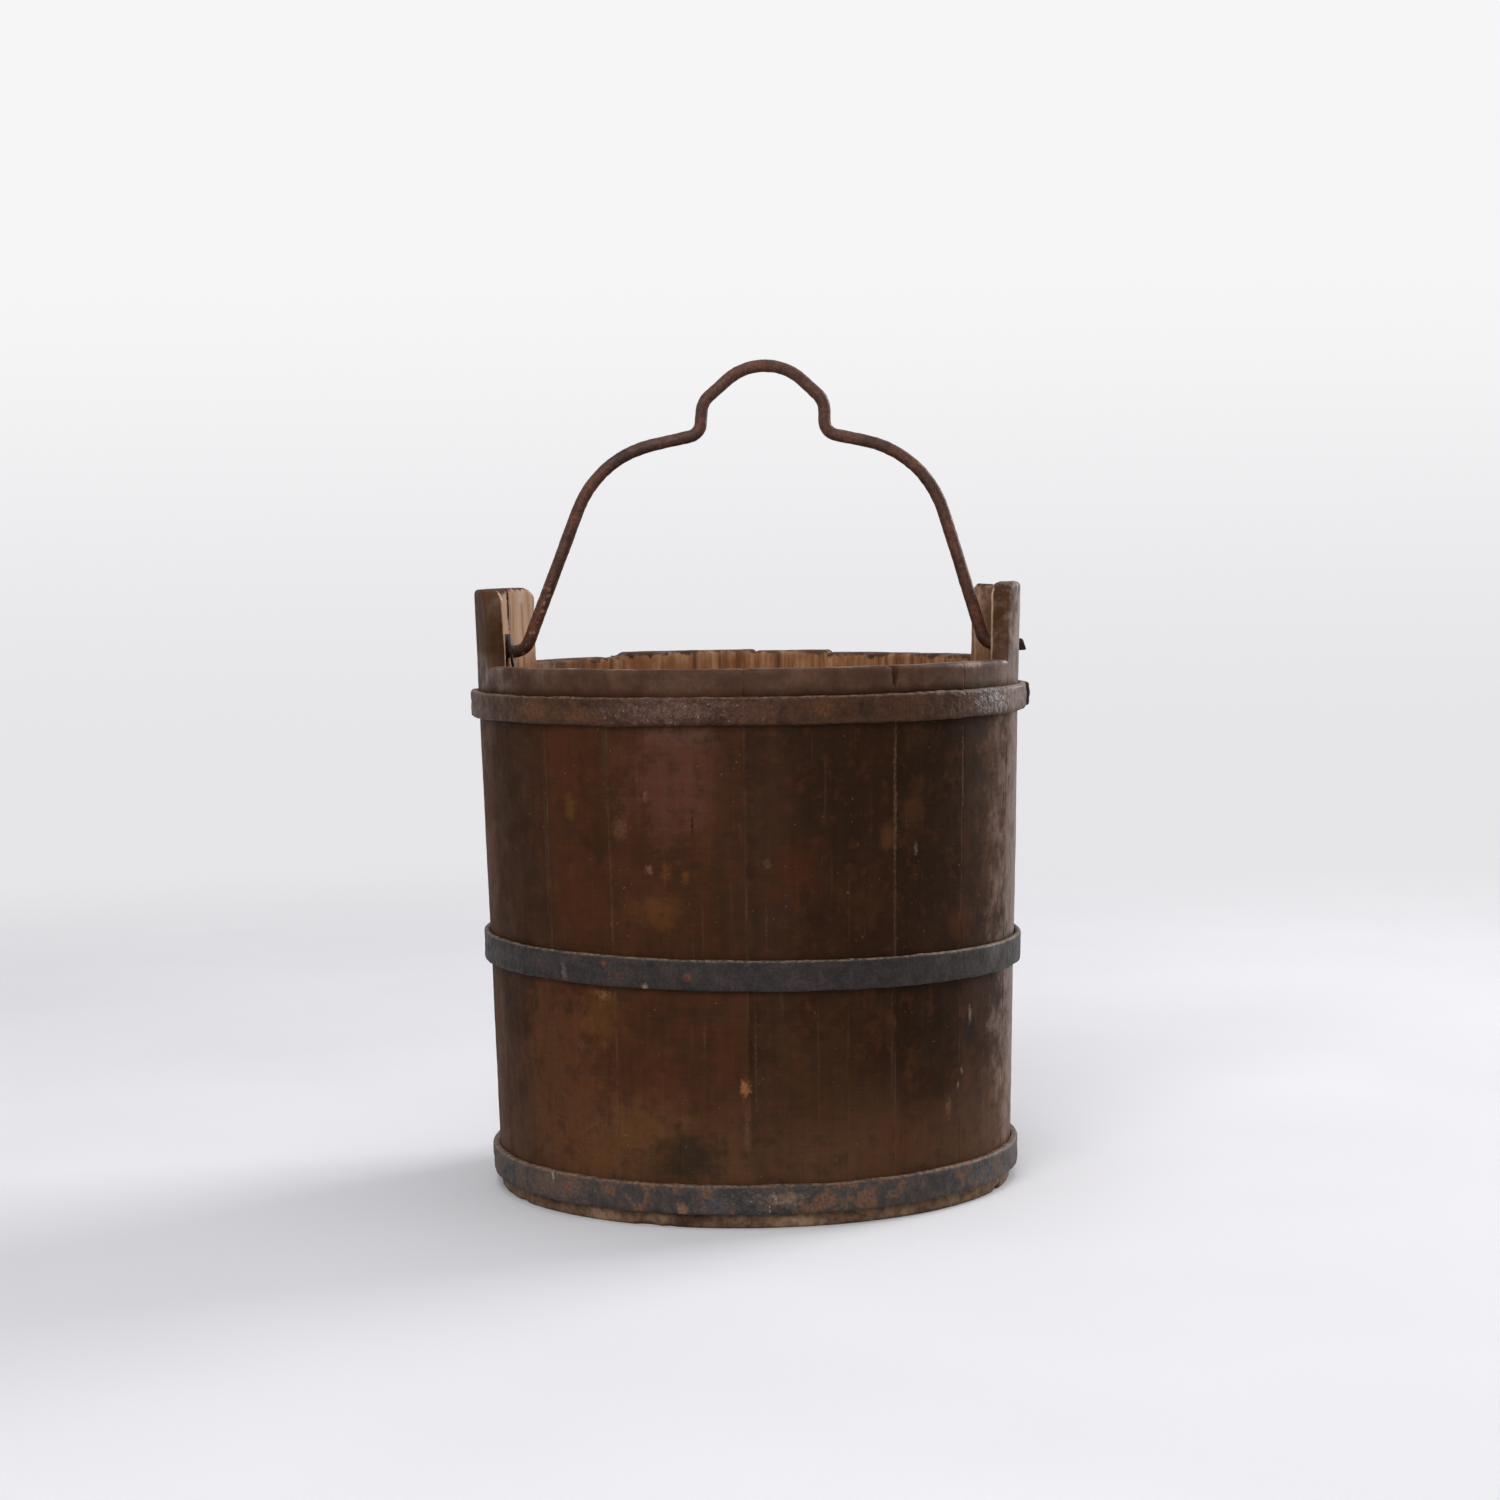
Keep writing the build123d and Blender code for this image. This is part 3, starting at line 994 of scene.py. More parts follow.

# %% [markdown]
# Patches where the lacquer has worn are red or ochre, dings are light, and dust and drips run as thin
# lines along the joints. A painted pale sheen runs down the right side and over the outer face of the
# right ear, and painted highlights sit high on the front and just under the middle hoop. The lip above the
# top hoop and the bare faces of the ears have marks of their own, among them painted glints on the lip and
# painted shade on the right ear's inner face, which is also browner wood. They are listed by place, so
# that each can be found on the wall and changed alone.

# %% Marks on the wall, the lip and the ears
wall_patches = {
    "red_top": (229, 246, 17, 30, tone(74, 39, 21), 0.55),
    "red_left": (226, 206, 22, 34, tone(66, 37, 21), 0.45),
    "red_low": (232, 168, 25, 26, tone(70, 39, 22), 0.5),
    "mauve_high": (254, 236, 28, 38, tone(84, 51, 39), 0.65),
    # Painted highlight on the front, just below the top hoop.
    "painted_highlight_top": (257, 256, 18, 6, tone(88, 66, 56), 0.35),
    "ochre_pool": (250.5, 165, 14, 11, tone(86, 54, 26), 0.6),
    "ochre_left": (230.8, 219.6, 3.6, 8, tone(84, 58, 24), 0.65),
    "brown_low": (263, 168, 16, 30, tone(58, 34, 17), 0.6),
    "dark_joint": (265.5, 190, 9, 130, tone(52, 32, 20), 0.45),
    "brown_joint": (274, 170, 15, 190, tone(57, 37, 24), 0.65),
    "dark_middle": (287, 214, 26, 40, tone(39, 25, 14), 0.65),
    "red_right": (278.3, 188, 17, 17, tone(66, 33, 17), 0.65),
    "glow_right": (299, 204, 5, 10, tone(82, 54, 29), 0.55),
    "orange_right": (305.2, 214, 8, 13, tone(66, 41, 21), 0.55),
    "dark_right": (307.5, 176, 16, 24, tone(36, 24, 15), 0.65),
    "red_low_right": (319, 155, 12, 10, tone(72, 39, 21), 0.5),
    "grey_right": (332, 216, 17, 70, tone(80, 55, 39), 0.4),
    # Painted sheen down the right side of the wall.
    "painted_sheen_right": (350, 200, 52, 120, tone(114, 78, 54), 0.38),
    # Painted sheen on the outer face of the right ear.
    "painted_sheen_ear_right": (350, 314, 25, 34, tone(128, 106, 90), 0.5),
    "ear_left_worn": (203, 326, 9, 7, tone(96, 82, 70), 0.5),
    "warm_low_left": (226, 74, 34, 62, tone(90, 54, 32), 0.65),
    "ochre_under_hoop": (236.5, 107, 14, 16, tone(88, 56, 27), 0.6),
    "green_low": (223, 73, 12, 26, tone(68, 50, 28), 0.45),
    "ochre_foot": (245, 50, 30, 18, tone(96, 64, 36), 0.55),
    "ochre_foot_left": (234, 38, 20, 20, tone(90, 58, 33), 0.5),
    "red_belly": (250, 76, 17, 16, tone(76, 43, 26), 0.5),
    "red_middle": (264.5, 94, 10, 18, tone(70, 37, 22), 0.55),
    "black_stain": (257, 37, 21, 13, tone(46, 34, 23), 0.9),
    "brown_belly": (283, 80, 26, 34, tone(60, 39, 22), 0.6),
    "dark_low_right": (322.3, 93, 7, 15, tone(32, 22, 15), 0.7),
    "red_foot": (302.6, 44, 15, 14, tone(78, 45, 29), 0.5),
    "grey_low_right": (333, 46, 16, 34, tone(94, 68, 51), 0.4),
    # Painted sheen low on the right side of the wall.
    "painted_sheen_low_right": (346, 58, 32, 60, tone(112, 78, 56), 0.36),
}
wall_marks = {
    "ochre_spot": (252.8, 186.7, 3.6, 6, tone(94, 57, 28), 0.7),
    "ochre_drop": (256.7, 184.5, 2.2, 4.6, tone(96, 58, 28), 0.7),
    "orange_chip": (268.1, 73.8, 2.8, 5.2, tone(136, 86, 51), 0.9),
    "ding_big": (243, 208.9, 4.6, 6.6, tone(100, 67, 50), 0.6),
    "ding_small": (249.1, 187.4, 2.4, 2.4, tone(112, 79, 64), 0.75),
    "ding_high": (248.8, 225.6, 1.6, 3.6, tone(112, 76, 58), 0.6),
    "fleck_right": (305.5, 194.9, 1.2, 3.6, tone(106, 92, 80), 0.7),
    "spot_right": (273.1, 190.6, 2.4, 2.8, tone(84, 64, 47), 0.6),
    "spot_low": (231.3, 91.9, 3, 3.2, tone(92, 67, 53), 0.5),
    # Painted highlight just under the middle hoop.
    "painted_highlight_under_hoop": (237.7, 120.5, 5, 2.4, tone(120, 86, 57), 0.7),
    "chip_right": (322.6, 102.1, 1.5, 5, tone(130, 107, 84), 0.75),
    "chip_dot": (319.7, 73, 1.2, 2, tone(130, 106, 84), 0.75),
    "chip_speck": (318.5, 65.5, 1.3, 1.8, tone(124, 100, 78), 0.75),
    "chip_low_right": (315.5, 54.6, 2.2, 6, tone(110, 83, 60), 0.65),
    "slit": (258.4, 211.9, 0.7, 6, tone(20, 11, 8), 1.0),
    "dust_224": (223.2, 196, 1.2, 44, tone(74, 58, 42), 0.45),
    "dust_240": (240, 244, 2.4, 30, tone(64, 51, 36), 0.5),
    "dust_240_low": (240.4, 190, 0.9, 50, tone(80, 60, 43), 0.4),
    "dust_269": (269, 200, 1.0, 84, tone(78, 56, 42), 0.3),
    "dust_300": (300.4, 222, 1.0, 44, tone(106, 82, 60), 0.6),
    "dust_300_low": (300.3, 165, 0.9, 36, tone(80, 57, 39), 0.55),
    "dust_319": (318.9, 228, 1.0, 34, tone(84, 66, 54), 0.55),
    "drip_260": (260.1, 158, 0.7, 15, tone(76, 53, 35), 0.4),
    "drip_273": (272.9, 160, 0.7, 18, tone(82, 57, 37), 0.35),
    "drip_290": (290, 164, 0.7, 24, tone(74, 52, 37), 0.35),
    "drip_chip": (268.4, 52, 1.2, 12, tone(104, 72, 48), 0.45),
    "drip_low_260": (260, 99, 0.8, 12, tone(86, 61, 42), 0.4),
    "dust_low_270": (270.4, 88, 0.8, 34, tone(82, 59, 41), 0.45),
    "dust_low_283": (283.3, 80, 0.7, 40, tone(76, 54, 38), 0.4),
    "dust_low_300": (299.8, 84, 0.9, 36, tone(74, 54, 39), 0.45),
}
polish_zones = {
    "wall": (352, 150, 44, 170, mask_on, 1.0),
    "ear": (354, 312, 34, 40, mask_on, 1.0),
}
lip_marks = {
    "glint_right": (322, 290, 12, 2.4, tone(158, 138, 126), 0.6),
    "worn_right": (335, 284, 12, 7, tone(112, 90, 78), 0.5),
    "glint_left": (206, 291, 9, 1.8, tone(132, 112, 98), 0.4),
    "mauve_front": (256, 284, 20, 6, tone(92, 66, 55), 0.5),
}
ear_patches = {
    "left_pale": (168, 322, 5, 15, tone(190, 160, 138), 0.6),
    # Browner wood on the right ear's inner face, darkened further by painted shade.
    "right_brown": (4, 314, 52, 32, tone(102, 68, 44), 0.85),
}
ear_marks = {
    "crack": (165.2, 322, 1.3, 15, tone(38, 22, 14), 1.0),
    "chipped": (157.5, 328, 4, 5, tone(196, 180, 168), 0.7),
}
print("marks on the wall:", len(wall_patches) + len(wall_marks))

# %% [markdown]
# The layers of the stave finish share some patterns, so those are made once: clouds of several sizes, the
# grain, which each plank shifts by its own random numbers, scuffs that run round the wall, and two edges
# for the marks, one soft and one crisp. A mask tells the back half, where the wear comes from noise.

# %% Patterns of the staves
from types import SimpleNamespace

back_from = -10 * mm
back_full = 40 * mm


def stave_patterns(finish):
    """The noises and masks that several layers of a stave share."""
    plank = finish.note("plank", "Vector")
    patches = finish.noise(52, 5, 0.65)
    return SimpleNamespace(
        z=finish.axis("Z"),
        plank=plank,
        patches=patches,
        mottle=finish.total((finish.noise(15, 4, 0.6), 0.55), (patches, 0.45)),
        fine=finish.noise(260, 4, 0.6),
        grain=finish.noise(300, 5, 0.6, finish.stretched((1, 1, 0.04), plank)),
        scuffs=finish.noise(900, 2, 0.5, finish.stretched((0.06, 0.06, 1))),
        lumps=finish.noise(170, 5, 0.65),
        soft=finish.swing(finish.noise(80, 7, 0.72), 3.0),
        crisp=finish.swing(finish.noise(420, 4, 0.65), 2.6),
        worn=finish.fade(finish.noise(700, 4, 0.7), 0.38, 0.58, 0.3, 1.0),
        behind=finish.fade(finish.axis("Y"), back_from, back_full),
    )


print("back half from", back_from, "to", back_full)

# %% [markdown]
# The lacquer is built up in the order in which it aged: the plank's own brown, dust towards the foot,
# worn patches with painted sheen and a painted highlight among them, tints, grain and scuffs, and last the
# small marks, one a painted highlight, and the dust in the joints. A single noise could colour it in one
# step, but would look the same all over.

# %% The lacquer outside
dust_from = 88 * mm
dust_full = 30 * mm
joint_open = 1.0 * mm
joint_tight = 0.2 * mm


def back_wear(finish, coat, behind):
    """Worn patches, dark patches, spills and dings on the back half."""
    rubbed = finish.noise(21, 5, 0.66, finish.stretched((1, 1, 0.6)))
    spills = finish.noise(29, 5, 0.66, finish.stretched((1, 1, 0.5)))
    dings = finish.noise(74, 3, 0.6)
    for pattern, low, high, share, brown in (
        (rubbed, 0.5, 0.64, 0.6, tone(76, 40, 22)),
        (rubbed, 0.46, 0.34, 0.6, tone(36, 24, 15)),
        (spills, 0.56, 0.68, 0.55, tone(90, 58, 30)),
        (dings, 0.68, 0.73, 0.5, tone(108, 78, 61)),
    ):
        coat = finish.stain(coat, brown, pattern, low, high, finish.times(behind, share))
    return coat


def lacquer_coat(finish, on):
    """Brown lacquer with its dust, stains, scuffs and marks, and its painted sheen and highlights."""
    dusty = finish.fade(on.mottle, 0.36, 0.56, 0.375, 0.75)
    tints = finish.noise(120, 5, 0.65)
    drips = finish.noise(420, 2, 0.5, finish.stretched((1, 1, 0.05)))
    coat = finish.vary(finish.note("lacquer", "Color"), on.mottle, 0.38, 0.62, 0.86, 1.15)
    coat = finish.stain(coat, tone(82, 56, 38), on.z, dust_from, dust_full, dusty)
    coat = finish.stain(coat, tone(82, 50, 27), finish.noise(33, 5, 0.65), 0.54, 0.7, 0.22)
    # Worn patches, with painted sheen on the right and a painted highlight on the front among them.
    coat = marked(finish, coat, wall_patches, on.soft)
    coat = back_wear(finish, coat, on.behind)
    coat = finish.stain(coat, tone(76, 42, 26), tints, 0.52, 0.66, 0.3)
    coat = finish.stain(coat, tone(42, 32, 22), tints, 0.48, 0.34, 0.4)
    coat = finish.vary(coat, on.grain, 0.36, 0.62, 0.94, 1.05)
    coat = finish.vary(coat, on.scuffs, 0.35, 0.65, 0.96, 1.04)
    coat = finish.stain(coat, tone(96, 70, 50), drips, 0.64, 0.74, 0.1)
    coat = finish.stain(coat, tone(120, 98, 80), finish.noise(520, 2, 0.5), 0.72, 0.78, 0.5)
    # Small marks, among them a painted highlight under the middle hoop.
    coat = marked(finish, coat, wall_marks, on.crisp, on.worn)
    least, most = finish.level(on.behind, 0.0, 0.25), finish.level(on.behind, 0.4, 0.8)
    dust = finish.fade(on.patches, 0.42, 0.62, least, most)
    return finish.stain(coat, tone(84, 66, 50), finish.note("joint_gap"), joint_open, joint_tight, dust)


print("dust rises to", dust_from)

# %% [markdown]
# The lip above the top hoop took more lacquer than the wall and is lumpy and shiny. At the foot the
# lacquer is rubbed off and grey wood shows. Both are layers of the same finish, faded in by height, since
# a second material would end in a hard line.

# %% Lip and foot
lip_low = 276 * mm
lip_high = 294 * mm
lip_blend = 6 * mm
lip_browns = ((0.34, tone(60, 40, 28)), (0.5, tone(76, 51, 37)), (0.66, tone(94, 67, 52)))
foot_from = 9.5 * mm
foot_full = 6.5 * mm
foot_ragged = 12 * mm
foot_greys = ((0.38, tone(70, 53, 40)), (0.5, tone(116, 92, 71)), (0.62, tone(146, 117, 92)))


def lip_mask(finish, z):
    """How much a point belongs to the lip."""
    above_hoop = finish.fade(z, lip_low, lip_low + lip_blend, 0.0, 0.8)
    return finish.times(above_hoop, finish.fade(z, lip_high + lip_blend, lip_high))


def with_lip(finish, coat, on, lip):
    """The coat with thicker, lumpier lacquer on the lip."""
    brown = finish.vary(finish.ramp(on.patches, *lip_browns), on.lumps, 0.35, 0.65, 0.92, 1.08)
    return marked(finish, finish.mix(lip, coat, brown), lip_marks, on.crisp, on.worn)


def with_foot(finish, coat, on):
    """The coat with grey wood at the foot, up to a ragged line."""
    wood = finish.vary(finish.ramp(on.mottle, *foot_greys), on.fine, 0.35, 0.6, 0.6, 1.15)
    ragged = finish.maths("ADD", on.z, finish.swing(on.patches, foot_ragged))
    return finish.stain(coat, wood, ragged, foot_from, foot_full, 0.85)


print("lip from", lip_low, "to", lip_high)

# %% [markdown]
# Inside, and on the inner faces of the ears, the wood is bare: long pale grain, darker lower down and
# paler on the ears, with painted shade on the right ear's inner face. A point is inside when it lies deep
# enough behind the outer face and below a ragged edge at the stave's top, where the lacquer ran over the
# rim.
# Splitting the faces between two materials would need a clean edge, and this one is not clean.

# %% Bare wood inside
grain_levels = (0.36, 0.46, 0.54, 0.66)
inside_browns = (tone(80, 51, 31), tone(130, 88, 58), tone(157, 113, 79), tone(180, 141, 106))
ear_browns = (tone(138, 105, 81), tone(180, 145, 119), tone(192, 159, 133), tone(206, 178, 156))
inside_darker_from = 240 * mm
inside_darker_full = 30 * mm
ear_from = rim_height - 6 * mm
ear_full = rim_height + 12 * mm
lacquer_reach = 8.4 * mm
bare_from = 9.6 * mm
rim_lacquer = 1.2 * mm
rim_bare = 3.4 * mm
depth_ragged = 3 * mm
rim_ragged = 14 * mm
grain_ragged = 6 * mm


def bare_wood(finish, on):
    """Raw wood of the inside, darker lower down, paler on the ears, with painted shade on the right ear.
    """
    long_grain = finish.noise(260, 5, 0.6, finish.stretched((1, 1, 0.05), on.plank))
    streaks = finish.noise(90, 4, 0.6, finish.stretched((1, 1, 0.12), on.plank))
    grain = finish.total((long_grain, 0.55), (streaks, 0.45))
    wall = finish.ramp(grain, *zip(grain_levels, inside_browns))
    wall = finish.stain(wall, tone(118, 70, 37), finish.noise(30, 4, 0.6), 0.5, 0.64, 0.6)
    # Darker lower down inside.
    wall = finish.stain(wall, tone(84, 58, 38), on.z, inside_darker_from, inside_darker_full, 0.6)
    wood = finish.stain(wall, finish.ramp(grain, *zip(grain_levels, ear_browns)), on.z, ear_from, ear_full)
    wood = marked(finish, wood, ear_patches, on.soft)
    return marked(finish, wood, ear_marks, on.crisp)


def inside_mask(finish, on):
    """1 on bare wood: deep behind the outer face, and below the ragged edge of the rim's lacquer."""
    face = finish.maths("MULTIPLY_ADD", on.z, taper, foot_radius)
    depth = finish.maths("SUBTRACT", face, finish.length(finish.stretched((1, 1, 0))))
    depth = finish.maths("ADD", depth, finish.swing(on.patches, depth_ragged))
    fringe = (finish.swing(on.patches, rim_ragged), finish.swing(on.grain, grain_ragged))
    below = finish.maths("ADD", finish.note("below_top"), finish.maths("ADD", *fringe))
    deep = finish.fade(depth, lacquer_reach, bare_from)
    return finish.times(deep, finish.fade(below, rim_lacquer, rim_bare))


print("bare from", bare_from, "behind the outer face")

# %% [markdown]
# The layers now go together. Hands have polished the right side and ear, so they are smoother and catch
# more light, and so does the lip. Grain, scuffs and lumps too fine for the mesh become a shallow bump.
# All thirteen staves wear this one finish.

# %% The stave finish
stave_bump = 0.35 * mm


def stave_finish():
    """Worn brown lacquer outside, bare wood inside and at the foot."""
    finish = Finish("stave_lacquer")
    on = stave_patterns(finish)
    lip = lip_mask(finish, on.z)
    inside = inside_mask(finish, on)
    coat = with_lip(finish, lacquer_coat(finish, on), on, lip)
    colour = finish.mix(inside, with_foot(finish, coat, on), bare_wood(finish, on))
    outside = finish.maths("SUBTRACT", 1.0, inside)
    polish = finish.times(marked(finish, mask_off, polish_zones, on.soft), outside)
    dull = finish.fade(on.patches, 0.35, 0.65, 0.7, finish.level(lip, 0.56, 0.3))
    roughness = finish.level(polish, finish.level(inside, dull, 0.85), 0.45)
    gloss = finish.level(polish, finish.level(lip, 0.045, 0.16), 0.26)
    height = finish.total((on.grain, 0.25), (on.fine, 0.45), (on.scuffs, 0.06), (on.lumps, lip, 1.6))
    return finish.done(colour, roughness, height, stave_bump, 0.6, gloss)


stave_lacquer = stave_finish()
for stave in staves.values():
    dress(stave, stave_lacquer)

# %% [markdown]
# ## Bottom wood, pegs and dowels
#
# The bottom boards are bare wood, grey and stained from water, with the grain along Y. The pegs and
# dowels are bamboo and stay inside the joints. Nobody sees their wear, so their CAD nodes keep their
# shape and only get a finish.

# %% Finishes of the bottom and the pegs
board_browns = ((0.34, tone(70, 46, 28)), (0.5, tone(122, 88, 56)), (0.66, tone(158, 122, 84)))
board_bump = 0.6 * mm
bamboo_browns = ((0.35, tone(140, 104, 62)), (0.65, tone(188, 154, 104)))
bamboo_bump = 0.2 * mm


def board_finish():
    """Water-stained boards."""
    finish = Finish("bottom_boards")
    grain = finish.noise(240, 5, 0.6, finish.stretched((1, 0.05, 1), finish.note("plank", "Vector")))
    blots = finish.noise(26, 4, 0.6)
    colour = finish.stain(finish.ramp(grain, *board_browns), tone(66, 48, 34), blots, 0.46, 0.62, 0.7)
    return finish.done(colour, finish.fade(blots, 0.4, 0.6, 0.85, 0.7), grain, board_bump, 0.7)


def bamboo_finish():
    """Split bamboo with fine fibres."""
    finish = Finish("bamboo")
    fibres = finish.noise(900, 4, 0.6, finish.stretched((1, 1, 0.2)))
    colour = finish.ramp(fibres, *bamboo_browns)
    return finish.done(colour, finish.fade(fibres, 0.3, 0.7, 0.6, 0.8), fibres, bamboo_bump)


bottom_wood = board_finish()
for board in boards:
    dress(board, bottom_wood)
bamboo = bamboo_finish()
for name in ("stave_pegs", "bottom_dowels"):
    dress(frame["nodes"][name], bamboo)

# %% [markdown]
# ## Iron
#
# All the iron is forged, but each piece has aged in its own way. The top hoop went under the same brown
# paint as the staves and is lumpy and a little shiny, with a painted sheen on its right end. The middle
# hoop is blue-black with a bright upper edge, part dust and part painted highlight, and a few red rust
# spots. The bottom hoop stood in the wet and is half rust. What sits in one place is listed as on the
# wall. The crust zones mark where paint or rust has bubbled, and carry painted glints, painted shade in
# the pits and painted light on the bumps.

# %% Marks on the hoops
top_marks = {
    "brown_left": (222, 269, 40, 10, tone(64, 41, 24), 0.5),
    "ochre_left": (223, 269, 14, 5, tone(88, 58, 30), 0.6),
    "ochre_next": (236, 268, 14, 4, tone(90, 56, 32), 0.5),
    "mauve_gloss": (254, 271, 34, 8, tone(86, 57, 46), 0.65),
    "mauve_middle": (270, 270, 16, 6, tone(84, 55, 43), 0.6),
    # Painted sheen on the right end of the hoop, where the light from the right falls.
    "painted_sheen_right": (339, 270, 28, 9, tone(128, 111, 102), 0.6),
    "brown_right": (304, 268, 18, 6, tone(62, 39, 22), 0.6),
}
# Zones of bubbled crust, which also carry painted glints and painted shade in the pits.
crust_and_glint_zones = {
    "front": (254.5, 270, 40, 10, mask_on, 0.9),
    "right": (327, 270, 16, 9, mask_on, 1.0),
    "foot": (272, 14, 26, 9, mask_on, 0.8),
}
middle_marks = {
    "rust_left": (239, 138, 1.6, 2, tone(110, 52, 42), 0.75),
    "rust_front": (257.3, 132.6, 2.6, 2.6, tone(98, 57, 48), 0.7),
    "pale_front": (248, 126.6, 2, 1.8, tone(132, 113, 88), 0.75),
    "pale_left": (228.5, 133, 2, 5, tone(96, 87, 82), 0.5),
    "grey_right": (330, 134, 8, 5, tone(84, 78, 75), 0.5),
    "crumbs_right": (322, 141, 38, 2.6, tone(146, 118, 88), 0.9),
}
bottom_marks = {
    "brown_left": (222, 16, 30, 9, tone(88, 68, 57), 0.7),
    "rust_front": (255, 10.6, 3.4, 4, tone(122, 88, 68), 0.8),
    "tan_lumps": (276, 16, 9, 4, tone(126, 104, 80), 0.55),
    "blue_front": (262, 13, 8, 6, tone(62, 62, 66), 0.6),
    "rust_red": (227, 16, 2, 2, tone(108, 52, 42), 0.8),
    "pale_fleck": (223, 20, 1, 3, tone(166, 144, 124), 0.8),
}
print("marks on the hoops:", len(top_marks) + len(middle_marks) + len(bottom_marks))

# %% [markdown]
# One function mixes forged iron from three colours and a level above which it rusts, and gives its
# patterns back for the layers above. On the hoops those are the marks, an upper edge of dust with a
# painted highlight along it, a black lap, and the bubbled crust with its painted glints and painted shade.
# A metallic shader would be right for bright iron, but this iron shows only paint and rust, so it stays a
# plain, rough surface.

# %% Finishes of the hoops
iron_bump_strength = 0.8
rust_blend = 0.06
rust_roughness = 0.75
# Depths below a hoop's top over which its upper edge takes dust and a painted highlight.
dust_and_highlight_from = 1.3 * mm
dust_and_highlight_full = 0.1 * mm
lap_from = 0.8 * mm
lap_full = 1.6 * mm


def forged(finish, dark, body, rust, rust_from):
    """Old iron in two tones, with rust where a noise is above a level."""
    patches = finish.noise(130, 5, 0.65)
    fine = finish.noise(620, 4, 0.6)
    mottle = finish.total((finish.noise(40, 5, 0.65), 0.5), (patches, 0.5))
    rusty = finish.fade(mottle, rust_from, rust_from + rust_blend)
    share = finish.times(rusty, finish.fade(fine, 0.35, 0.55, 0.35, 0.9))
    return SimpleNamespace(
        colour=finish.mix(share, finish.ramp(mottle, (0.38, dark), (0.6, body)), rust),
        rusty=rusty,
        patches=patches,
        fine=fine,
        relief=finish.total((fine, 0.5), (patches, 0.8)),
    )


def hoop_finish(name, dark, body, rust, rust_from, marks, dust_and_highlight, dust_and_highlight_most, shine, gloss, pit_depth):
    """A forged hoop: marks, a dusty upper edge with a painted highlight, a black lap, and crust with
    painted glints and pit shade.
    """
    finish = Finish(name)
    iron = forged(finish, dark, body, rust, rust_from)
    ruffle = finish.swing(finish.noise(240, 5, 0.7), 3.0)
    dust_and_highlight_share = finish.fade(finish.noise(420, 3, 0.6), 0.42, 0.6, 0.15, dust_and_highlight_most)
    colour = marked(finish, iron.colour, marks, ruffle)
    colour = finish.vary(colour, iron.fine, 0.3, 0.7, 0.72, 1.28)
    # The upper edge: dust, with a painted highlight along it.
    colour = finish.stain(colour, dust_and_highlight, finish.note("below_top"), dust_and_highlight_from, dust_and_highlight_full, dust_and_highlight_share)
    colour = finish.stain(colour, tone(34, 29, 27), finish.note("on_lap"), lap_from, lap_full, 0.8)
    crust_and_glints = marked(finish, mask_off, crust_and_glint_zones, ruffle)
    bubbles = finish.noise(330, 4, 0.65)
    # Painted glints on the crust, and painted shade in its pits with painted light on its bumps.
    painted_glints = finish.noise(600, 2, 0.5)
    colour = finish.shade(colour, finish.level(crust_and_glints, 1.0, finish.fade(bubbles, 0.38, 0.58, 0.55, 1.25)))
    colour = finish.stain(colour, tone(196, 172, 158), painted_glints, 0.66, 0.72, finish.times(crust_and_glints, 0.6))
    dull = finish.fade(iron.patches, 0.35, 0.65, shine + 0.18, shine)
    roughness = finish.level(crust_and_glints, finish.level(iron.rusty, dull, rust_roughness), 0.28)
    height = finish.maths("ADD", iron.relief, finish.times(bubbles, crust_and_glints, 2.2))
    gloss = finish.level(crust_and_glints, gloss, 0.28)
    return finish.done(colour, roughness, height, pit_depth, iron_bump_strength, gloss)


# Each hoop's upper-edge tone stands for dust with a painted highlight on it.
hoop_looks = {
    "hoop_top": dict(
        name="top_hoop_paint", dark=tone(46, 29, 17), body=tone(74, 47, 31), rust=tone(84, 51, 29),
        rust_from=0.56, marks=top_marks, dust_and_highlight=tone(140, 115, 98), dust_and_highlight_most=0.6,
        shine=0.4, gloss=0.12, pit_depth=1.0 * mm,
    ),
    "hoop_middle": dict(
        name="middle_hoop_iron", dark=tone(36, 32, 32), body=tone(54, 47, 44), rust=tone(78, 48, 39),
        rust_from=0.6, marks=middle_marks, dust_and_highlight=tone(140, 120, 100), dust_and_highlight_most=0.7,
        shine=0.5, gloss=0.14, pit_depth=0.4 * mm,
    ),
    "hoop_bottom": dict(
        name="bottom_hoop_iron", dark=tone(40, 38, 39), body=tone(72, 60, 53), rust=tone(98, 68, 49),
        rust_from=0.52, marks=bottom_marks, dust_and_highlight=tone(136, 105, 83), dust_and_highlight_most=0.75,
        shine=0.5, gloss=0.25, pit_depth=0.8 * mm,
    ),
}
for name, look in hoop_looks.items():
    dress(hoops[name], hoop_finish(**look))

# %% [markdown]
# The bail is brown all over from smooth rust, with pale specks low on its left leg and a black end outside
# the right ear. The rivets and washers are small and half hidden, so tones and rust are enough for them,
# and their CAD nodes keep their shape.

# %% Finishes of the bail, the rivets and the washers
small_rust_from = 0.54
small_gloss = 0.25
small_bump = 0.4 * mm
bail_bump = 0.3 * mm
speck_right = -90 * mm
speck_left = -110 * mm
speck_high = 345 * mm
speck_low = 325 * mm


def plain_iron(name, dark, body, rust):
    """Small ironwork: tones and rust, and nothing more."""
    finish = Finish(name)
    iron = forged(finish, dark, body, rust, small_rust_from)
    roughness = finish.level(iron.rusty, 0.5, rust_roughness)
    return finish.done(iron.colour, roughness, iron.relief, small_bump, iron_bump_strength, small_gloss)


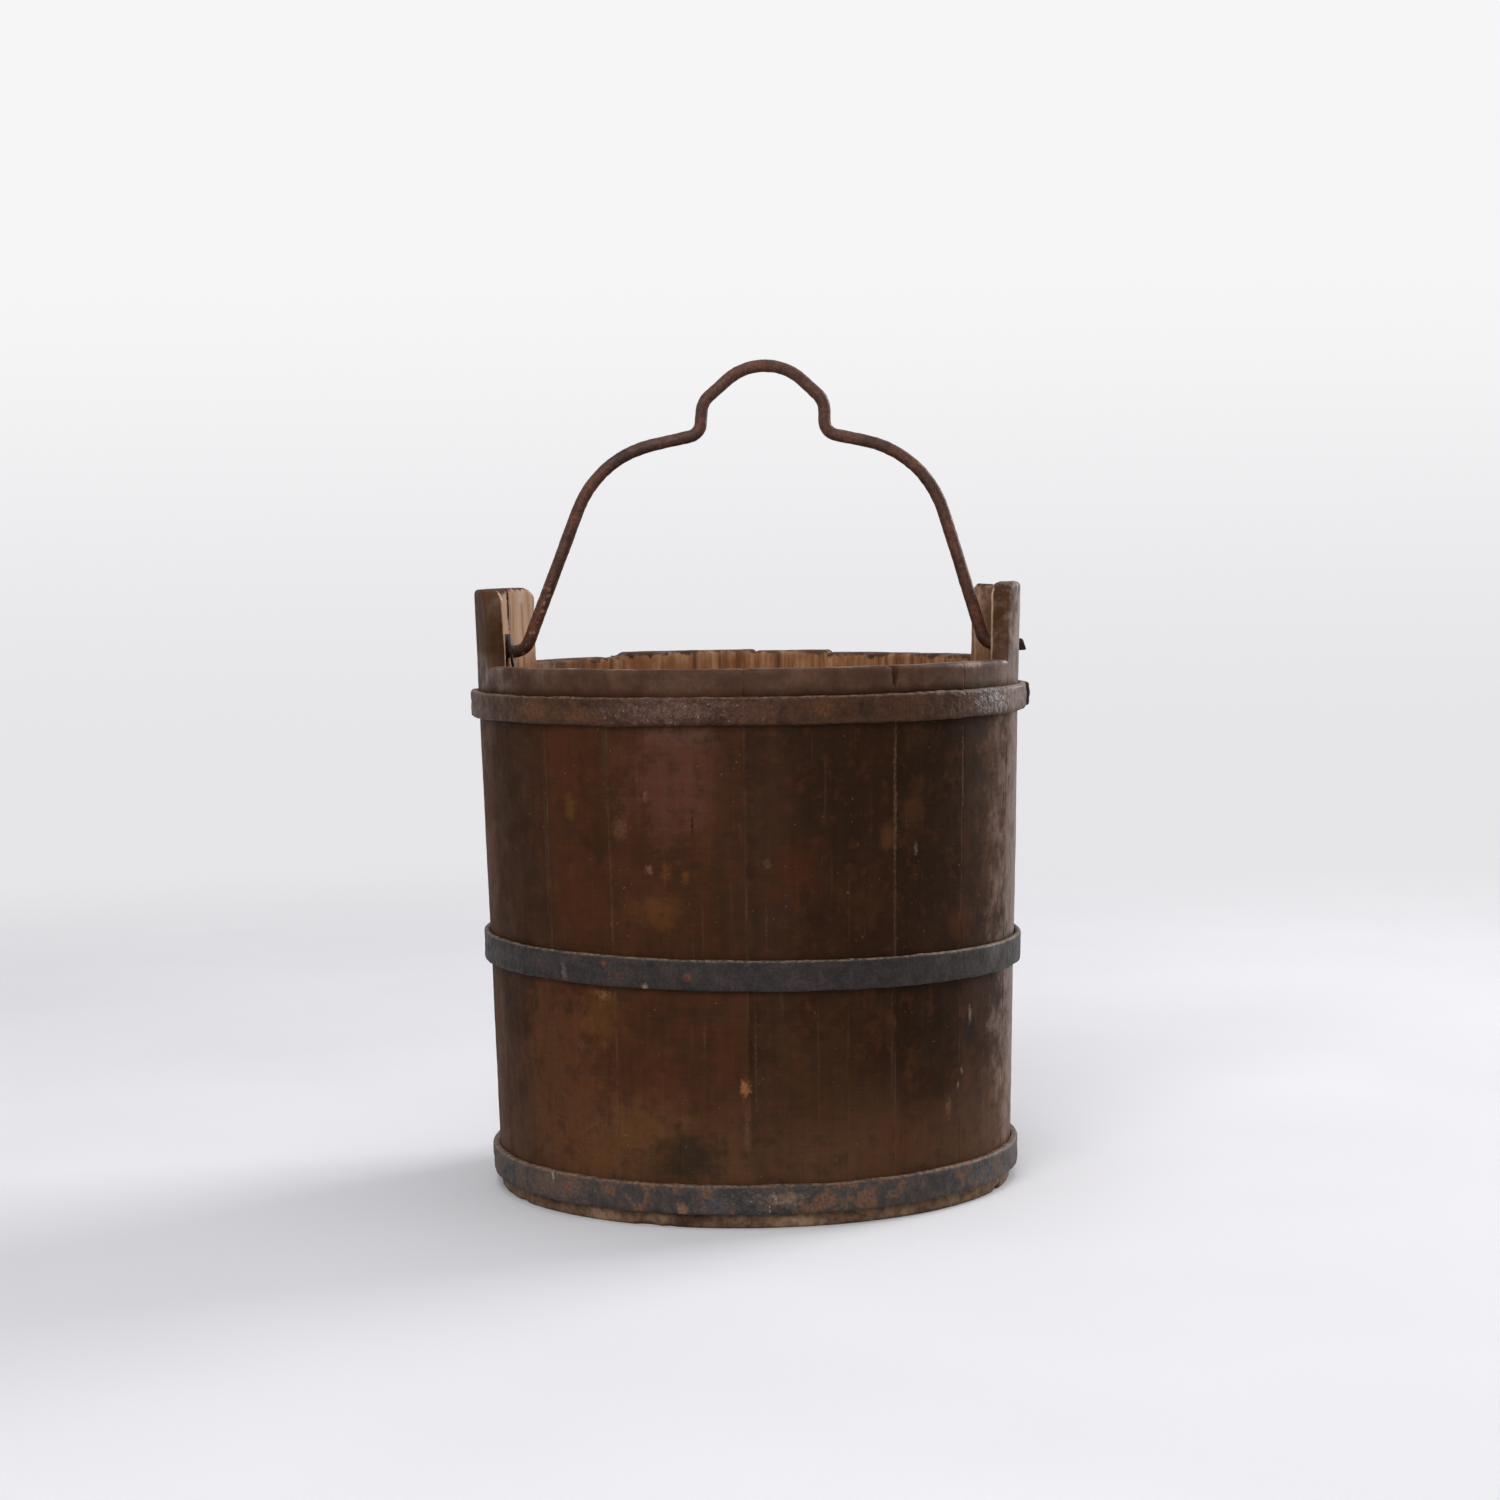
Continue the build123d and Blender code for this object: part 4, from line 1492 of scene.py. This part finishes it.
def bail_finish(name, dark, body, rust):
    """Smooth brown rust, with pale specks low on the left and a black end outside the right ear."""
    finish = Finish(name)
    x = finish.axis("X")
    iron = forged(finish, dark, body, rust, small_rust_from)
    on_left = finish.fade(x, speck_right, speck_left)
    low_left = finish.times(on_left, finish.fade(finish.axis("Z"), speck_high, speck_low))
    specks = finish.times(finish.maths("MAXIMUM", low_left, 0.12), 0.8)
    colour = finish.vary(iron.colour, iron.fine, 0.3, 0.7, 0.72, 1.28)
    colour = finish.stain(colour, tone(150, 112, 84), finish.noise(330, 3, 0.6), 0.55, 0.66, specks)
    colour = finish.stain(colour, tone(24, 20, 18), x, ear_outside, ear_outside + near)
    dull = finish.fade(iron.patches, 0.35, 0.65, 0.62, 0.46)
    roughness = finish.level(iron.rusty, dull, rust_roughness)
    return finish.done(colour, roughness, iron.relief, bail_bump, iron_bump_strength, small_gloss)


dress(bail, bail_finish("bail_rust", tone(52, 33, 26), tone(88, 54, 41), tone(98, 59, 40)))
rivet_rust = plain_iron("rivet_rust", tone(40, 34, 31), tone(66, 53, 46), tone(90, 60, 43))
for name in hoops:
    dress(frame["nodes"][name + "_rivets"], rivet_rust)
washer_rust = plain_iron("washer_rust", tone(36, 24, 18), tone(60, 40, 29), tone(76, 48, 33))
for name in ("washer_upright", "washer_leaning"):
    dress(frame["nodes"][name], washer_rust)

# %% [markdown]
# ## Stage, light and camera
#
# The bucket stands on a pale floor that curves up into a backdrop, so that no line crosses behind it. Near
# the bucket the floor is plain matt paint and holds the shadow. Further out it turns to an even pale tone,
# but only for rays that show the background, straight or mirrored. A brighter lamp could do that too, but
# it would wash out the brown of the staves.

# %% Floor and backdrop
floor_width = 16.0
floor_front = -8.0
floor_back = 2.6
backdrop_bend = 0.9
backdrop_steps = 24
backdrop_rise = 2.6
shadow_reach = 0.7
plain_from = 1.9
pale_low = tone(230, 229, 232)
pale_high = tone(246, 246, 247)
paint_bump = 0.1 * mm


def seen_directly(tree):
    """1 for rays that show the background, straight or mirrored, and 0 for rays that carry light."""
    path = tree.nodes.new("ShaderNodeLightPath")
    total = path.outputs["Is Camera Ray"]
    for name in ("Is Glossy Ray", "Is Transmission Ray"):
        add = tree.nodes.new("ShaderNodeMath")
        add.use_clamp = True
        tree.links.new(total, add.inputs[0])
        tree.links.new(path.outputs[name], add.inputs[1])
        total = add.outputs[0]
    return total


def pale_paint():
    """Matt pale paint with the faintest mottle, which turns to a plain pale tone away from the shadow."""
    finish = Finish("pale_paint")
    cloud = finish.noise(3, 2, 0.55)
    colour = finish.ramp(cloud, (0.3, tone(222, 221, 224)), (0.7, tone(228, 227, 230)))
    paint = finish.done(colour, finish.fade(cloud, 0.3, 0.7, 0.9, 0.95), cloud, paint_bump, 0.1)
    away = finish.length(finish.stretched((1, 1, 0)))
    share = finish.times(finish.fade(away, shadow_reach, plain_from), seen_directly(paint.node_tree))
    pale = finish.stain(pale_low, pale_high, finish.axis("Z"), 0.0, backdrop_bend)
    glow = finish.node("ShaderNodeEmission", {"Color": pale})
    both = finish.node("ShaderNodeMixShader", {0: share, 1: finish.shader.outputs[0], 2: glow.outputs[0]})
    finish.set(finish.nodes["Material Output"].inputs["Surface"], both.outputs[0])
    return paint


floor_size = (floor_width, floor_back - floor_front, 1)
floor_middle = (0, (floor_front + floor_back) / 2, 0)
stage = start_from(bpy.ops.mesh.primitive_plane_add, floor_size, size=1, location=floor_middle)
stage.name = "pale_stage"
choose(stage, "EDGE", lambda middle: middle.y > floor_back - near)
bend_centre = (0, floor_back, backdrop_bend)
bpy.ops.mesh.spin(steps=backdrop_steps, angle=-math.pi / 2, center=bend_centre, axis=(1, 0, 0))
extrude_by((0, 0, backdrop_rise))
pick_up(stage)
bpy.ops.object.shade_smooth()
dress(stage, pale_paint())
print("stage vertices:", len(stage.data.vertices))

# %% [markdown]
# The light is soft, from four square area lamps. One at the right and behind draws the pale edge along
# the right side, a stronger one at the front left lights the front, and two weak ones above reach the
# inside and the backdrop. A sun or a spot would throw a hard shadow. A narrower spread keeps two of the
# lamps from burning out the floor.

# %% Lamps and world
bucket_middle = (0, 0, 0.2)
backdrop_middle = (0, floor_back + backdrop_bend, 1.6)
room_light = (0.92, 0.94, 1.0, 1.0)
room_strength = 0.3


def lamp(name, place, aim, size, watts, spread=180):
    """A large soft square lamp, aimed at a point, with a spread in degrees."""
    clear_bench()
    turn = (Vector(aim) - Vector(place)).to_track_quat("-Z", "Y").to_euler()
    bpy.ops.object.light_add(type="AREA", location=place, rotation=turn)
    made = bpy.context.object
    made.name = name
    made.data.size = size
    made.data.energy = watts
    made.data.spread = math.radians(spread)
    made.visible_camera = False


def soft_room():
    """A world with a weak even light, which itself looks as pale as the foot of the backdrop."""
    world = bpy.data.worlds.new("soft_room")
    world.use_nodes = True
    nodes = world.node_tree.nodes
    light = nodes["Background"]
    light.inputs["Color"].default_value = room_light
    light.inputs["Strength"].default_value = room_strength
    pale = nodes.new("ShaderNodeBackground")
    pale.inputs["Color"].default_value = pale_low
    either = nodes.new("ShaderNodeMixShader")
    outputs = (seen_directly(world.node_tree), light.outputs[0], pale.outputs[0])
    for output, socket in zip(outputs, either.inputs):
        world.node_tree.links.new(output, socket)
    world.node_tree.links.new(either.outputs[0], nodes["World Output"].inputs["Surface"])
    return world


lamp("key_right", (2.8, 2.0, 1.6), bucket_middle, size=1.8, watts=34, spread=100)
lamp("fill_front", (-0.7, -3.0, 2.2), bucket_middle, size=1.8, watts=80)
lamp("top_soft", (0.1, 0.0, 2.4), bucket_middle, size=1.6, watts=14)
lamp("back_soft", (0, 1.0, 2.8), backdrop_middle, size=2.2, watts=13, spread=100)
bpy.context.scene.world = soft_room()
print("lamps:", len(bpy.data.lights))

# %% [markdown]
# The camera looks at the front from just above the rim. A long lens from further off keeps the hoops
# nearly straight, where a short one close by would bow them. It is turned a little about its own line of
# sight, as the bucket stands a little out of true.

# %% Camera
camera_place = (0.0018, -1.6925, 0.3471)
camera_pitch = math.radians(90 - 3.62)
camera_roll = math.radians(0.85)
camera_lens = 72.5
camera_sensor = 36

clear_bench()
bpy.ops.object.camera_add(location=camera_place, rotation=(camera_pitch, camera_roll, 0))
camera = bpy.context.object
camera.data.lens = camera_lens
camera.data.sensor_width = camera_sensor
bpy.context.scene.camera = camera
bpy.context.scene.view_settings.view_transform = "Standard"
print("camera lens:", camera.data.lens)

# %% [markdown]
# ## Sizes
#
# Worn edges and dents may move a surface by a millimetre, no more.

# %% Sizes
import json
